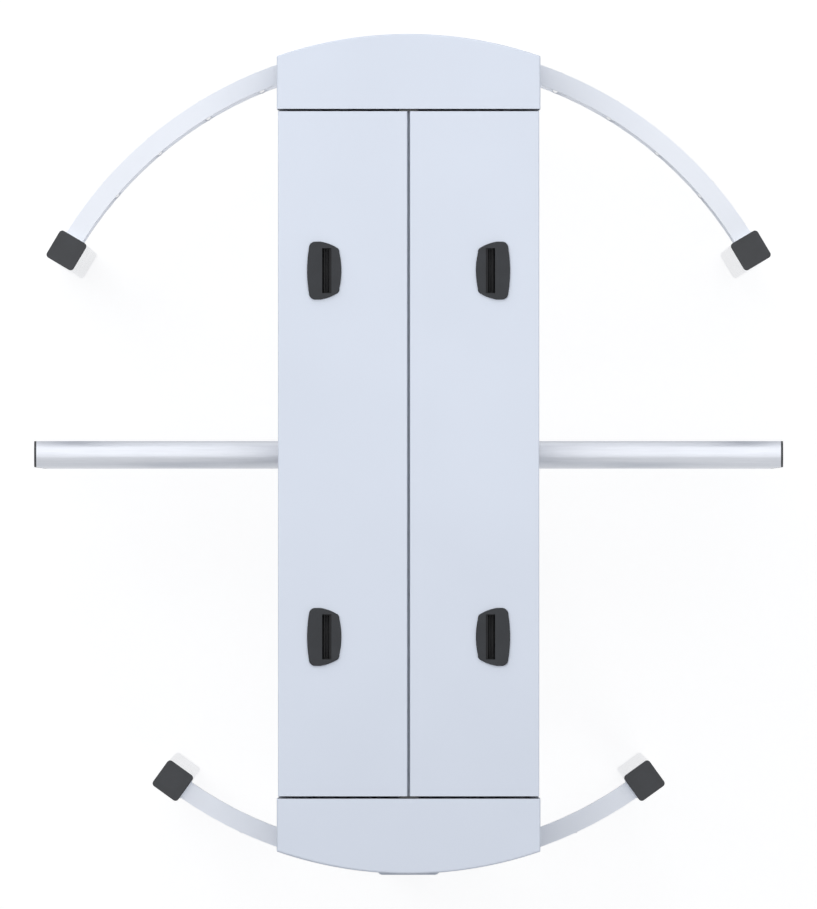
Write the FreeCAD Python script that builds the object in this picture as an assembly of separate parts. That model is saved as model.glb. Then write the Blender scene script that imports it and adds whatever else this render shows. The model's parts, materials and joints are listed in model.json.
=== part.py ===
import FreeCAD, Part
import math
import os

# Full height turnstile with four wings, two main posts and a service header.
# Millimetres. Origin: the rotor axis at floor level. +Z up, +X and -X are the two
# passage sides, -Y is the passage half and +Y the half closed by the barrier comb.

Vector = FreeCAD.Vector
ORIGIN = Vector(0, 0, 0)
UP = Vector(0, 0, 1)
ALONG_X = Vector(1, 0, 0)
ALONG_Y = Vector(0, 1, 0)

# Heights above the floor
header_top = 2300.0
header_height = 240.0
arm_first_height = 150.0
arm_top_gap = 155.0
arm_levels = 10

# Header casing
header_half_width = 211.0
header_end_radius = 645.0
header_setback = 4.0
end_cover_length = 120.0
sheet = 2.0
panel_sheet = 3.0
fold_radius = 3.0
cover_corner_radius = 2.0
cover_lip = 14.0
cover_flange = 15.0
cover_flange_gap = 10.0
cover_flange_length = 52.0
cover_screw_radius = 2.5
cover_screw_head_radius = 4.5
cover_screw_head = 2.5

# Doors in the header's top
door_end_gap = 4.0
door_setback = 2.0
door_lip = 22.0
door_fold_radius = 2.0
door_seam = 4.0
panel_gap = 2.0
hinge_roll_radius = 6.0
hinge_pin_radius = 3.0
hinge_pin_reach = 40.0
running_clearance = 0.05
bracket_gap = 0.3
bracket_thickness = 2.5
bracket_half_width = 15.0
bracket_top_gap = 1.0
seal_width = 10.0
seal_inset = 9.0
seal_clearance = 0.3

# Header frame, welded square tube
lower_tube = 40.0
upper_tube = 25.0
tube_wall = 2.5
plate_end_reach = 25.0
centre_beam_width = 40.0
centre_beam_gap = 1.0

# Slide latches in the doors
latch_edge_reach = 74.0
latch_end_reach = 255.0
latch_slot_shift = 4.0
latch_slot_width = 14.6
latch_slot_length = 72.0
latch_plate = 4.0
latch_plate_edge = 1.2
latch_plate_side = 8.5
latch_plate_end = 7.4
latch_outer_bulge = 3.0
latch_seam_bulge = 3.3
latch_corner = 10.0
latch_corner_bow = 2.9
latch_flat = 8.5
latch_slope = 25.5
latch_slope_drop = 9.2
latch_slope_bow = 1.3
latch_seam_corner = 8.2
latch_seam_bow = 1.6
latch_wall = 2.5
latch_body_width = 38.0
latch_slot_end = 3.0
latch_body_depth = 48.0
latch_body_chamfer = 8.5
latch_finger_depth = 15.0
latch_web = 2.5
latch_fit = 0.3
latch_bolt_gap = 6.3
latch_bolt_width = 20.0
latch_bolt_height = 6.5
latch_bolt_drop = 1.0

# Posts
main_post_width = 100.0
main_post_depth = 60.0
main_post_wall = 4.0
main_post_corner = 8.0
north_post_step = 6.0
post_gap = 13.0
base_plate = 12.0
base_plate_half_width = 110.0
base_plate_length = 130.0
base_hole_radius = 7.0
base_hole_side = 25.0
base_hole_edge = 20.0
head_plate = 10.0
head_plate_half_width = 80.0
head_bolt_x = 65.0
head_bolt_y = 10.0
head_plate_setback = 12.0
corner_post = 50.0
corner_post_wall = 3.0
corner_post_corner = 6.0
corner_post_drop = 20.0
corner_foot = 10.0
corner_foot_hole_radius = 9.0
cap_plate = 5.0
cap_edge = 1.5
cap_spigot = 20.0
cap_spigot_wall = 2.0
north_post_angle = math.radians(29.7)
south_post_angle = math.radians(-52.75)

# Curved guards between the corner posts and the main posts
rail_width = 30.0
rail_height = 40.0
rail_drop = 30.0
flat_rail_width = 12.0
flat_rail_height = 40.0
flat_rail_bottoms = (100.0, 1050.0)
north_rail_centre = 13.5
south_rail_centre = -26.5
north_guard_gap = 30.0
south_guard_gap = 23.0
guard_bar_radius = 6.0
guard_bar_pitch = 100.0
guard_cut_angle = math.radians(3.0)

# Barrier comb in the closed half
finger_radius = 19.0
finger_wall = 2.0
finger_gap = 28.0
finger_cap = 3.0

# Rotor
rotor_radius = 603.0
column_radius = 57.15
column_wall = 4.0
column_bottom = 60.0
column_gap = 15.0
disc_thickness = 12.0
wing_count = 4
arm_radius = 21.2
arm_wall = 2.0
plug_flange = 3.5
plug_spigot = 18.0
plug_edge = 0.8

# Rotor foot
floor_plate_half = 100.0
pivot_housing_radius = 45.0
pivot_gap = 2.0
pivot_floor = 8.0
pivot_pin_radius = 15.0
pivot_bush_wall = 9.0
thrust_flange = 4.0
thrust_clearance = 0.3
pivot_flange_radius = 35.0
pivot_flange = 6.0

# Shaft and upper bearing
shaft_radius = 20.0
shaft_flange_radius = 50.0
shaft_flange = 12.0
shaft_bolt_circle = 38.0
shaft_end = 2.0
bearing_outer_radius = 34.0
bearing_width = 15.0
bearing_split_gap = 0.3
bearing_housing_wall = 21.0
bearing_housing_depth = 25.0
bearing_lip = 5.0
bearing_bolt_inset = 10.0
mechanism_plate_thickness = 17.0
mechanism_plate_side = 1.0
mechanism_plate_half_length = 225.0
shaft_hole_gap = 10.0
pan_hole_gap = 10.0

# Gear pair, locking wheel and index disc on the shaft
gear_module = 2.0
gear_teeth = 80
pinion_teeth = 20
pressure_angle = math.radians(20.0)
tooth_thinning = 0.15
gear_face_width = 15.0
gear_gap = 16.0
involute_steps = 4
pinion_overhang = 2.0
hub_wall = 10.0
web_hole_radius = 12.0
web_hole_circle = 52.0
web_holes = 6
wheel_setback = 2.0
wheel_thickness = 6.0
wheel_base_gap = 4.0
segment_outer = 90.0
segment_inner = 62.0
segment_thickness = 12.0
notch_half_width = 15.0
disc_radius = 60.0
disc_sheet = 3.0
disc_base_gap = 15.0
index_slot_width = 8.0
index_slot_depth = 10.0
index_slots = 8
nut_wall = 8.0
nut_height = 12.0

# Gearmotor below the mechanism plate
gearbox_half = 35.0
gearbox_height = 39.0
pinion_shaft_radius = 6.0
pinion_shaft_reach = 20.0
plate_shaft_hole = 14.0
motor_radius = 19.0
motor_length = 120.0
motor_cap_radius = 15.0
motor_cap_length = 20.0
gearbox_edge = 4.0

# Locking pawls and their solenoids
pawl_pivot_x = 60.0
pawl_pivot_gap = 14.0
pawl_pin_radius = 5.0
pawl_boss_radius = 12.0
pawl_arm_drop = 4.0
pawl_arm_width = 14.0
pawl_thickness = 9.5
pawl_nose_half = 9.0
pawl_nose_gap = 3.5
pawl_swing = math.radians(12.0)
pawl_tail = 30.0
pawl_tail_end = 10.0
tail_slot_half_width = 3.6
tail_slot_half_length = 5.0
link_pin_radius = 3.0
plunger_radius = 5.0
plunger_length = 40.0
yoke_half_width = 7.0
yoke_thickness = 6.0
yoke_block = 8.0
yoke_clearance = 1.0
yoke_reach = 14.0
solenoid_half = 15.0
solenoid_length = 58.0
solenoid_gap = 12.0
pawl_pin_top = 6.0

# Sensor, electronics and cable entry
sensor_wheel_gap = 4.0
sensor_post_half = 8.0
sensor_lap = 6.0
sensor_jaw = 6.0
sensor_gap = 3.0
tray_sheet = 2.0
control_width = 200.0
control_end_gap = 54.0
control_height = 70.0
power_width = 110.0
power_end_gap = 64.0
power_height = 50.0
box_edge = 3.0
tray_gap = 8.0
tray_seat = 10.0
gland_radius = 12.0
gland_bore = 7.0
gland_flange_radius = 15.0
gland_x = 120.0
gland_beam_reach = 58.0
gland_head = 6.0
gland_collar = 3.0

# Fasteners
bolt_radius = 5.0
bolt_head_radius = 8.5
bolt_head = 6.4

# Places worked out from the sizes above, in plan
main_post_inner = rotor_radius + post_gap
main_post_outer = main_post_inner + main_post_depth
main_post_middle = (main_post_inner + main_post_outer) / 2
finger_root = main_post_inner - north_post_step
header_end = main_post_outer - header_setback
header_end_centre = header_end - header_end_radius
cover_edge = header_end - end_cover_length
cover_flange_start = cover_edge + cover_flange_gap
door_half_length = cover_edge - door_end_gap
door_outer = header_half_width - door_setback
door_inner = door_seam / 2
panel_inner = door_outer - panel_sheet
hinge_x = door_inner + hinge_roll_radius
bracket_start = door_half_length + bracket_gap
top_member_inner = bracket_start - upper_tube
end_beam_offset = door_half_length - lower_tube / 2
cross_beam_offset = mechanism_plate_half_length - plate_end_reach
mechanism_plate_half_width = panel_inner - lower_tube - mechanism_plate_side
bay_length = end_beam_offset - cross_beam_offset
bay_centre = (end_beam_offset + cross_beam_offset) / 2
gland_y = end_beam_offset - gland_beam_reach
north_guard_radius = rotor_radius + north_guard_gap
south_guard_radius = rotor_radius + south_guard_gap
latch_x = door_outer - latch_edge_reach
latch_y = door_half_length - latch_end_reach
latch_hole_x = latch_x - latch_slot_shift
latch_body_length = latch_slot_length + 2 * latch_slot_end
latch_travel = latch_slot_width - latch_web - 2 * latch_fit
bearing_split_radius = (shaft_radius + bearing_outer_radius) / 2
bearing_housing_radius = bearing_outer_radius + bearing_housing_wall
bearing_bolt_circle = bearing_housing_radius - bearing_bolt_inset
shaft_hole_radius = shaft_radius + shaft_hole_gap
pan_hole_radius = bearing_housing_radius + pan_hole_gap
hub_radius = shaft_radius + hub_wall
nut_radius = shaft_radius + nut_wall
wheel_radius = segment_outer - wheel_setback
centre_distance = gear_module * (gear_teeth + pinion_teeth) / 2
pawl_pivot_y = segment_outer + pawl_pivot_gap
pawl_middle_y = -pawl_pivot_y - pawl_arm_drop
pawl_tail_x = pawl_pivot_x + pawl_tail
sensor_post_x = -(segment_outer + sensor_wheel_gap + sensor_post_half)
sensor_jaw_end = sensor_lap - disc_radius

# Places worked out from the sizes above, in height
header_bottom = header_top - header_height
pan_top = header_bottom + panel_sheet
panel_top = header_top - door_lip - panel_gap
hinge_z = header_top - hinge_roll_radius
seal_top = header_top - sheet - seal_clearance
lower_tube_top = pan_top + lower_tube
upper_tube_top = hinge_z - hinge_roll_radius - seal_clearance
upper_tube_bottom = upper_tube_top - upper_tube
post_head_bottom = header_bottom - head_plate
corner_post_height = header_bottom - corner_post_drop
rail_top = header_bottom - rail_drop
rail_bottom = rail_top - rail_height
column_top = header_bottom - column_gap
pivot_housing_top = column_bottom - pivot_flange - pivot_gap
arm_pitch = (header_bottom - arm_top_gap - arm_first_height) / (arm_levels - 1)
arm_heights = [arm_first_height + arm_pitch * level for level in range(arm_levels)]
finger_heights = [height + arm_pitch / 2 for height in arm_heights[:-1]]
plate_bottom = lower_tube_top
mechanism_plate_top = plate_bottom + mechanism_plate_thickness
wheel_base = mechanism_plate_top + wheel_base_gap
segment_base = wheel_base + wheel_thickness
segment_top = segment_base + segment_thickness
gear_base = segment_top + gear_gap
gear_top = gear_base + gear_face_width
disc_base = gear_top + disc_base_gap
disc_top = disc_base + disc_sheet
shaft_top = disc_top + nut_height + shaft_end
pawl_base = segment_base + (segment_thickness - pawl_thickness) / 2
pawl_top = pawl_base + pawl_thickness
pawl_middle = (pawl_base + pawl_top) / 2
latch_bolt_top = upper_tube_bottom - latch_bolt_drop
latch_bolt_bottom = latch_bolt_top - latch_bolt_height

# Centres of the corner posts, on the circles of the guards
north_post = Vector(north_guard_radius * math.cos(north_post_angle),
                    north_rail_centre + north_guard_radius * math.sin(north_post_angle), 0)
south_post = Vector(south_guard_radius * math.cos(south_post_angle),
                    south_rail_centre + south_guard_radius * math.sin(south_post_angle), 0)

os.makedirs("parts", exist_ok=True)


def save(name, solids):
    """Writes one node from one solid or from a list of separate solids."""
    shape = solids if isinstance(solids, Part.Shape) else Part.makeCompound(solids)
    shape.exportStep("parts/" + name + ".step")
    print(name, len(shape.Solids), round(shape.Volume / 1000.0, 2), shape.isValid())


def box(x0, x1, y0, y1, z0, z1):
    return Part.makeBox(x1 - x0, y1 - y0, z1 - z0, Vector(x0, y0, z0))


def centred_box(half_x, half_y, z0, z1, x=0.0, y=0.0):
    return box(x - half_x, x + half_x, y - half_y, y + half_y, z0, z1)


def cylinder(radius, z0, z1, x=0.0, y=0.0):
    return Part.makeCylinder(radius, z1 - z0, Vector(x, y, z0))


def ring(outer, inner, z0, z1, x=0.0, y=0.0):
    return cylinder(outer, z0, z1, x, y).cut(cylinder(inner, z0, z1, x, y))


def turned(shape, degrees):
    copy = shape.copy()
    copy.rotate(ORIGIN, UP, degrees)
    return copy


def moved(shape, offset):
    copy = shape.copy()
    copy.translate(offset)
    return copy


def mirrored_x(shape):
    return shape.mirror(ORIGIN, ALONG_X)


def mirrored_y(shape):
    return shape.mirror(ORIGIN, ALONG_Y)


def both_sides(shape):
    return [shape, mirrored_x(shape)]


def both_ends(shape):
    return [shape, mirrored_y(shape)]


def at_both_posts(shape):
    """A shape drawn at a main post, for both posts. The north post stands a step further in."""
    return [moved(shape, Vector(0, -north_post_step, 0)), mirrored_y(shape)]


def all_corners(shape):
    return both_sides(shape) + both_sides(mirrored_y(shape))


def upright_edges(shape):
    return [e for e in shape.Edges if abs(e.tangentAt(e.FirstParameter).z) > 0.99]


def edges_at_height(shape, height):
    found = []
    for edge in shape.Edges:
        bounds = edge.BoundBox
        if abs(bounds.ZMin - height) < 0.01 and abs(bounds.ZMax - height) < 0.01:
            found.append(edge)
    return found


def rounded_bar(width, depth, radius, z0, z1):
    """An upright bar about the origin with rounded upright edges."""
    bar = centred_box(width / 2, depth / 2, z0, z1)
    return bar.makeFillet(radius, upright_edges(bar))


def tube_along(axis, size, length):
    """A square tube about the origin, centred on the named axis."""
    def block(side):
        if axis == "x":
            return box(-length / 2, length / 2, -side / 2, side / 2, -side / 2, side / 2)
        if axis == "y":
            return box(-side / 2, side / 2, -length / 2, length / 2, -side / 2, side / 2)
        return box(-side / 2, side / 2, -side / 2, side / 2, -length / 2, length / 2)
    return block(size).cut(block(size - 2 * tube_wall))


def hexagon(radius, z, height, x=0.0, y=0.0):
    points = []
    for corner in range(7):
        angle = math.radians(60 * corner)
        points.append(Vector(x + radius * math.cos(angle), y + radius * math.sin(angle), z))
    return Part.Face(Part.makePolygon(points)).extrude(Vector(0, 0, height))


def bolt(x, y, seat, length, head_up=True):
    """A hexagon bolt whose head sits on the seat and whose shank goes the other way."""
    way = 1 if head_up else -1
    head = hexagon(bolt_head_radius, seat, way * bolt_head, x, y)
    shank = Part.makeCylinder(bolt_radius, length, Vector(x, y, seat), Vector(0, 0, -way))
    return head.fuse(shank).removeSplitter()


# Plates and posts

def main_post():
    outer = rounded_bar(main_post_width, main_post_depth, main_post_corner, base_plate, post_head_bottom)
    inner = rounded_bar(main_post_width - 2 * main_post_wall, main_post_depth - 2 * main_post_wall,
                        main_post_corner - main_post_wall, base_plate, post_head_bottom)
    return moved(outer.cut(inner), Vector(0, main_post_middle, 0))


def base_plates():
    back = main_post_outer - base_plate_length
    plate = box(-base_plate_half_width, base_plate_half_width, back, main_post_outer, 0, base_plate)
    hole_x = base_plate_half_width - base_hole_side
    for y in (main_post_outer - base_hole_edge, back + base_hole_edge):
        for x in (-hole_x, hole_x):
            plate = plate.cut(cylinder(base_hole_radius, 0, base_plate, x, y))
    return both_ends(plate)


def head_bolt_places():
    rows = (main_post_middle - head_bolt_y, main_post_middle + head_bolt_y)
    return [(x, y) for x in (-head_bolt_x, head_bolt_x) for y in rows]


def head_plates():
    outer = main_post_outer - head_plate_setback
    half = head_plate_half_width
    plate = box(-half, half, main_post_inner, outer, post_head_bottom, header_bottom)
    for x, y in head_bolt_places():
        plate = plate.cut(cylinder(bolt_radius, post_head_bottom, header_bottom, x, y))
    return at_both_posts(plate)


def placed_at_post(shape, place):
    """Turns a shape so that its sides lie along and across the line from the rotor axis."""
    return moved(turned(shape, math.degrees(math.atan2(place.y, place.x))), place)


def at_all_posts(shape):
    found = []
    for place in (north_post, south_post):
        found += both_sides(placed_at_post(shape, place))
    return found


def corner_tube():
    outer = rounded_bar(corner_post, corner_post, corner_post_corner, 0, corner_post_height)
    side = corner_post - 2 * corner_post_wall
    inner = rounded_bar(side, side, corner_post_corner - corner_post_wall, 0, corner_post_height)
    return outer.cut(inner)


def corner_foot_plate():
    side = corner_post - 2 * corner_post_wall
    plate = rounded_bar(side, side, corner_post_corner - corner_post_wall, 0, corner_foot)
    return plate.cut(cylinder(corner_foot_hole_radius, 0, corner_foot))


def corner_cap():
    top = corner_post_height + cap_plate
    head = rounded_bar(corner_post, corner_post, corner_post_corner, corner_post_height, top)
    head = head.makeFillet(cap_edge, edges_at_height(head, top))
    side = corner_post - 2 * corner_post_wall
    radius = corner_post_corner - corner_post_wall
    low = corner_post_height - cap_spigot
    spigot = rounded_bar(side, side, radius, low, corner_post_height)
    hollow_side = side - 2 * cap_spigot_wall
    hollow = centred_box(hollow_side / 2, hollow_side / 2, low, corner_post_height)
    return head.fuse(spigot.cut(hollow)).removeSplitter()


# Curved guards. Each guard runs on one circle from its corner post to the main post.

def guard_circle(north):
    """The place along Y of the guard circle's centre, and the radius of the rails' middle line."""
    if north:
        return north_rail_centre, north_guard_radius
    return south_rail_centre, south_guard_radius


def guard_angles(north):
    """Angles, seen from the guard circle's centre, of its corner post and of the main post's side."""
    centre, radius = guard_circle(north)
    end = math.acos(main_post_width / 2 / radius)
    if north:
        return north_post_angle, end
    return south_post_angle, -end


def curved_bar(north, inner_offset, outer_offset, z0, z1):
    """A bar bent along the guard's circle, cut off face to face with both posts."""
    centre, radius = guard_circle(north)
    start, end = guard_angles(north)
    low, high = sorted((start, end))
    span = math.degrees(high - low + guard_cut_angle)
    first = math.degrees(low if north else low - guard_cut_angle)
    bar = Part.makeCylinder(radius + outer_offset, z1 - z0, Vector(0, 0, z0), UP, span)
    bar = bar.cut(cylinder(radius + inner_offset, z0, z1))
    bar = moved(turned(bar, first), Vector(0, centre, 0))
    post = rounded_bar(corner_post, corner_post, corner_post_corner, z0, z1)
    bar = bar.cut(placed_at_post(post, north_post if north else south_post))
    main = rounded_bar(main_post_width, main_post_depth, main_post_corner, z0, z1)
    main_y = main_post_middle - north_post_step if north else -main_post_middle
    bar = bar.cut(moved(main, Vector(0, main_y, 0)))
    return max(bar.Solids, key=lambda solid: solid.Volume)


def guard_bar_line(north, z0, z1):
    """Round bars between two rails, evenly spaced and near the rails' outer side."""
    centre, radius = guard_circle(north)
    start, end = guard_angles(north)
    post_share = corner_post / 2 / radius
    first = start + post_share if north else start - post_share
    steps = max(2, round(abs(end - first) * radius / guard_bar_pitch))
    line = radius + rail_width / 2 - flat_rail_width / 2
    bars = []
    for step in range(1, steps):
        angle = first + (end - first) * step / steps
        x, y = line * math.cos(angle), centre + line * math.sin(angle)
        bars += both_sides(cylinder(guard_bar_radius, z0, z1, x, y))
    return bars


def top_rails():
    rails = []
    for north in (True, False):
        bar = curved_bar(north, -rail_width / 2, rail_width / 2, rail_bottom, rail_top)
        rails += both_sides(bar)
    return rails


def flat_rails():
    rails = []
    for north in (True, False):
        for low in flat_rail_bottoms:
            inner = rail_width / 2 - flat_rail_width
            bar = curved_bar(north, inner, rail_width / 2, low, low + flat_rail_height)
            rails += both_sides(bar)
    return rails


def guard_bars():
    tops = list(flat_rail_bottoms[1:]) + [rail_bottom]
    bars = []
    for north in (True, False):
        for low, high in zip(flat_rail_bottoms, tops):
            bars += guard_bar_line(north, low + flat_rail_height, high)
    return bars


def barrier_fingers():
    """Closed-ended tubes from the north main post towards the column, between the rotor arms."""
    tip = column_radius + finger_gap
    bore_start = tip + finger_cap
    bore_radius = finger_radius - finger_wall
    fingers = []
    for height in finger_heights:
        outer = Part.makeCylinder(finger_radius, finger_root - tip, Vector(0, tip, height), ALONG_Y)
        bore_length = finger_root - bore_start
        bore = Part.makeCylinder(bore_radius, bore_length, Vector(0, bore_start, height), ALONG_Y)
        fingers.append(outer.cut(bore))
    return fingers


# Header casing

def header_prism(inset, z0, z1):
    """The header's plan outline, drawn in by the inset and raised between two heights."""
    half = header_half_width - inset
    radius = header_end_radius - inset
    corner = header_end_centre + math.sqrt(radius ** 2 - half ** 2)
    end = header_end_centre + radius
    edges = [
        Part.makeLine(Vector(half, -corner, z0), Vector(half, corner, z0)),
        Part.Arc(Vector(half, corner, z0), Vector(0, end, z0), Vector(-half, corner, z0)).toShape(),
        Part.makeLine(Vector(-half, corner, z0), Vector(-half, -corner, z0)),
        Part.Arc(Vector(-half, -corner, z0), Vector(0, -end, z0), Vector(half, -corner, z0)).toShape(),
    ]
    return Part.Face(Part.Wire(edges)).extrude(Vector(0, 0, z1 - z0))


def beyond(shape, start):
    """Keeps what lies past the start, towards +Y."""
    half = header_half_width
    return shape.common(box(-half, half, start, header_end, header_bottom, header_top))


def cover_screw_places():
    x = header_half_width - sheet - cover_flange / 2
    inset = cover_flange_length / 4
    rows = (cover_flange_start + inset, cover_flange_start + cover_flange_length - inset)
    return [(side * x, y) for side in (-1, 1) for y in rows]


def end_cover():
    outer = beyond(header_prism(0, header_bottom, header_top), cover_edge)
    corner_edges = [e for e in upright_edges(outer) if e.BoundBox.YMin > cover_flange_start]
    outer = outer.makeFillet(cover_corner_radius, corner_edges)
    rim = [e for e in edges_at_height(outer, header_top) if e.BoundBox.YMax > cover_flange_start]
    outer = outer.makeFillet(fold_radius, rim)
    cover = outer.cut(beyond(header_prism(sheet, header_bottom, header_top - sheet), cover_edge))
    lip_half = header_half_width - sheet
    lip_bottom = header_top - cover_lip
    lip = box(-lip_half, lip_half, cover_edge, cover_edge + sheet, lip_bottom, header_top - sheet)
    cover = cover.fuse(lip)
    flange_end = cover_flange_start + cover_flange_length
    flange = box(lip_half - cover_flange, lip_half, cover_flange_start, flange_end,
                 pan_top, pan_top + sheet)
    for side in both_sides(flange):
        cover = cover.fuse(side)
    for x, y in cover_screw_places():
        cover = cover.cut(cylinder(cover_screw_radius, pan_top, pan_top + sheet, x, y))
    return cover.removeSplitter()


def cover_screws():
    screws = []
    for x, y in cover_screw_places():
        head = cylinder(cover_screw_head_radius, header_bottom - cover_screw_head, header_bottom, x, y)
        shank = cylinder(cover_screw_radius, header_bottom, pan_top + sheet, x, y)
        screws += both_ends(head.fuse(shank).removeSplitter())
    return screws


def plan_bolt_places():
    """Where the frame's bolts stand: through the main posts' head plates."""
    north = [(x, y - north_post_step) for x, y in head_bolt_places()]
    south = [(x, -y) for x, y in head_bolt_places()]
    return north + south


def header_pan():
    pan = header_prism(sheet, header_bottom, pan_top)
    pan = pan.cut(cylinder(pan_hole_radius, header_bottom, pan_top))
    pan = pan.cut(cylinder(gland_radius, header_bottom, pan_top, gland_x, gland_y))
    for x, y in plan_bolt_places():
        pan = pan.cut(cylinder(bolt_radius, header_bottom, pan_top, x, y))
    for x, y in cover_screw_places():
        for sign in (1, -1):
            pan = pan.cut(cylinder(cover_screw_radius, header_bottom, pan_top, x, sign * y))
    return pan


def side_panels():
    panel = box(panel_inner, door_outer, -door_half_length, door_half_length, header_bottom, panel_top)
    pan = header_prism(sheet, header_bottom, pan_top)
    return both_sides(panel.cut(pan))


# Header frame

def lower_tubes():
    rail_x = panel_inner - lower_tube / 2
    middle = pan_top + lower_tube / 2
    rail = moved(tube_along("y", lower_tube, 2 * door_half_length), Vector(rail_x, 0, middle))
    tubes = both_sides(rail)
    beam = tube_along("x", lower_tube, 2 * (panel_inner - lower_tube))
    for y in (cross_beam_offset, end_beam_offset):
        tubes += both_ends(moved(beam, Vector(0, y, middle)))
    return tubes


def upper_tubes():
    x = panel_inner - upper_tube / 2
    y = bracket_start - upper_tube / 2
    middle = upper_tube_top - upper_tube / 2
    rail = moved(tube_along("y", upper_tube, 2 * door_half_length), Vector(x, 0, middle))
    tubes = both_sides(rail)
    cross = moved(tube_along("x", upper_tube, 2 * (panel_inner - upper_tube)), Vector(0, y, middle))
    tubes += both_ends(cross)
    leg_length = upper_tube_bottom - lower_tube_top
    leg_y = door_half_length - upper_tube / 2
    leg = moved(tube_along("z", upper_tube, leg_length), Vector(x, leg_y, lower_tube_top + leg_length / 2))
    return tubes + all_corners(leg)


def centre_beam():
    top = hinge_z - hinge_roll_radius - centre_beam_gap
    half = centre_beam_width / 2
    bottom = upper_tube_bottom
    outer = box(-half, half, -top_member_inner, top_member_inner, bottom, top)
    inner_half = half - tube_wall
    inner_top = top - tube_wall
    inner = box(-inner_half, inner_half, -top_member_inner, top_member_inner, bottom + tube_wall, inner_top)
    return outer.cut(inner)


def hinge_brackets():
    plate = box(-bracket_half_width, bracket_half_width, bracket_start, bracket_start + bracket_thickness,
                upper_tube_bottom, header_top - bracket_top_gap)
    hole_start = Vector(hinge_x, bracket_start, hinge_z)
    hole = Part.makeCylinder(hinge_pin_radius, bracket_thickness, hole_start, ALONG_Y)
    for place in both_sides(hole):
        plate = plate.cut(place)
    return both_ends(plate)


def hinge_pins():
    length = hinge_pin_reach + bracket_gap + bracket_thickness
    start = door_half_length - hinge_pin_reach
    pin = Part.makeCylinder(hinge_pin_radius, length, Vector(hinge_x, start, hinge_z), ALONG_Y)
    return all_corners(pin)


def door_seals():
    inner = panel_inner - upper_tube + seal_inset
    strip = box(inner, inner + seal_width, -top_member_inner, top_member_inner, upper_tube_top, seal_top)
    return both_sides(strip)


# Doors and their slide latches, drawn for the +X door and mirrored

def bowed(start, end, bow):
    """An arc whose middle stands to the right of the straight way from start to end."""
    along = end - start
    aside = Vector(along.y, -along.x, 0).normalize()
    return Part.Arc(start, (start + end) / 2 + aside * bow, end).toShape()


def latch_outline(height):
    """The plate's outline about its centre: bulging sides, and ends that slope towards the seam."""
    half_width = latch_body_width / 2 + latch_plate_side
    end = latch_body_length / 2 + latch_plate_end
    outer = half_width - latch_outer_bulge
    outer_low = Vector(outer, end - latch_corner, height)
    outer_high = Vector(outer - latch_corner, end, height)
    slope_high = Vector(outer_high.x - latch_flat, end, height)
    slope_low = Vector(slope_high.x - latch_slope, end - latch_slope_drop, height)
    seam_high = Vector(latch_seam_bulge - half_width, slope_low.y - latch_seam_corner, height)

    def far(point):
        return Vector(point.x, -point.y, point.z)

    edges = [
        bowed(outer_low, outer_high, latch_corner_bow),
        Part.makeLine(outer_high, slope_high),
        bowed(slope_high, slope_low, latch_slope_bow),
        bowed(slope_low, seam_high, latch_seam_bow),
        bowed(seam_high, far(seam_high), latch_seam_bulge),
        bowed(far(seam_high), far(slope_low), latch_seam_bow),
        bowed(far(slope_low), far(slope_high), latch_slope_bow),
        Part.makeLine(far(slope_high), far(outer_high)),
        bowed(far(outer_high), far(outer_low), latch_corner_bow),
        bowed(far(outer_low), outer_low, latch_outer_bulge),
    ]
    return Part.Face(Part.Wire(edges))


def latch_prism(inset, z0, z1):
    """The latch body's plan, with chamfers towards the seam, drawn in by a wall and raised."""
    body = centred_box(latch_body_width / 2 - inset, latch_body_length / 2 - inset, z0, z1,
                       latch_hole_x, latch_y)
    seam_edges = [e for e in upright_edges(body) if e.BoundBox.XMax < latch_hole_x]
    return body.makeChamfer(latch_body_chamfer - inset * (2 - math.sqrt(2)), seam_edges)


def latch_housing():
    top = header_top + latch_plate
    plate = latch_outline(header_top).extrude(Vector(0, 0, latch_plate))
    plate = plate.makeFillet(latch_plate_edge, edges_at_height(plate, top))
    plate = moved(plate, Vector(latch_x, latch_y, 0))
    bottom = header_top - latch_body_depth
    housing = plate.fuse(latch_prism(0, bottom, header_top)).removeSplitter()
    cavity = latch_prism(latch_wall, bottom + latch_wall, header_top - latch_wall)
    slot = centred_box(latch_slot_width / 2, latch_slot_length / 2, header_top - latch_wall, top,
                       latch_hole_x, latch_y)
    housing = housing.cut(cavity).cut(slot)
    window_half = latch_bolt_width / 2 + latch_fit
    wall_x = latch_hole_x + latch_body_width / 2
    window = box(wall_x - latch_wall, wall_x, latch_y - window_half, latch_y + window_half,
                 latch_bolt_bottom - latch_fit, latch_bolt_top + latch_fit)
    return housing.cut(window)


def latch_slider():
    """Drawn back, clear of the frame tube. It slides outwards by latch_travel to go under the tube."""
    low = header_top - latch_body_depth + latch_wall + latch_fit
    high = header_top - latch_finger_depth
    cavity_inner = latch_hole_x - latch_body_width / 2 + latch_wall
    width = latch_body_width - 2 * latch_wall - latch_travel - 2 * latch_fit
    left = cavity_inner + latch_fit
    block = latch_prism(latch_wall + latch_fit, low, high)
    drawn_back = centred_box(width / 2, latch_body_length / 2, low, high, left + width / 2, latch_y)
    block = block.common(drawn_back)
    web_left = latch_hole_x - latch_slot_width / 2 + latch_fit
    web_half = latch_slot_length / 2 - latch_fit
    web = box(web_left, web_left + latch_web, latch_y - web_half, latch_y + web_half, high, header_top)
    nose_end = panel_inner - upper_tube - latch_bolt_gap
    nose = box(left + width, nose_end, latch_y - latch_bolt_width / 2,
               latch_y + latch_bolt_width / 2, latch_bolt_bottom, latch_bolt_top)
    return block.fuse(web).fuse(nose).removeSplitter()


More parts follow.
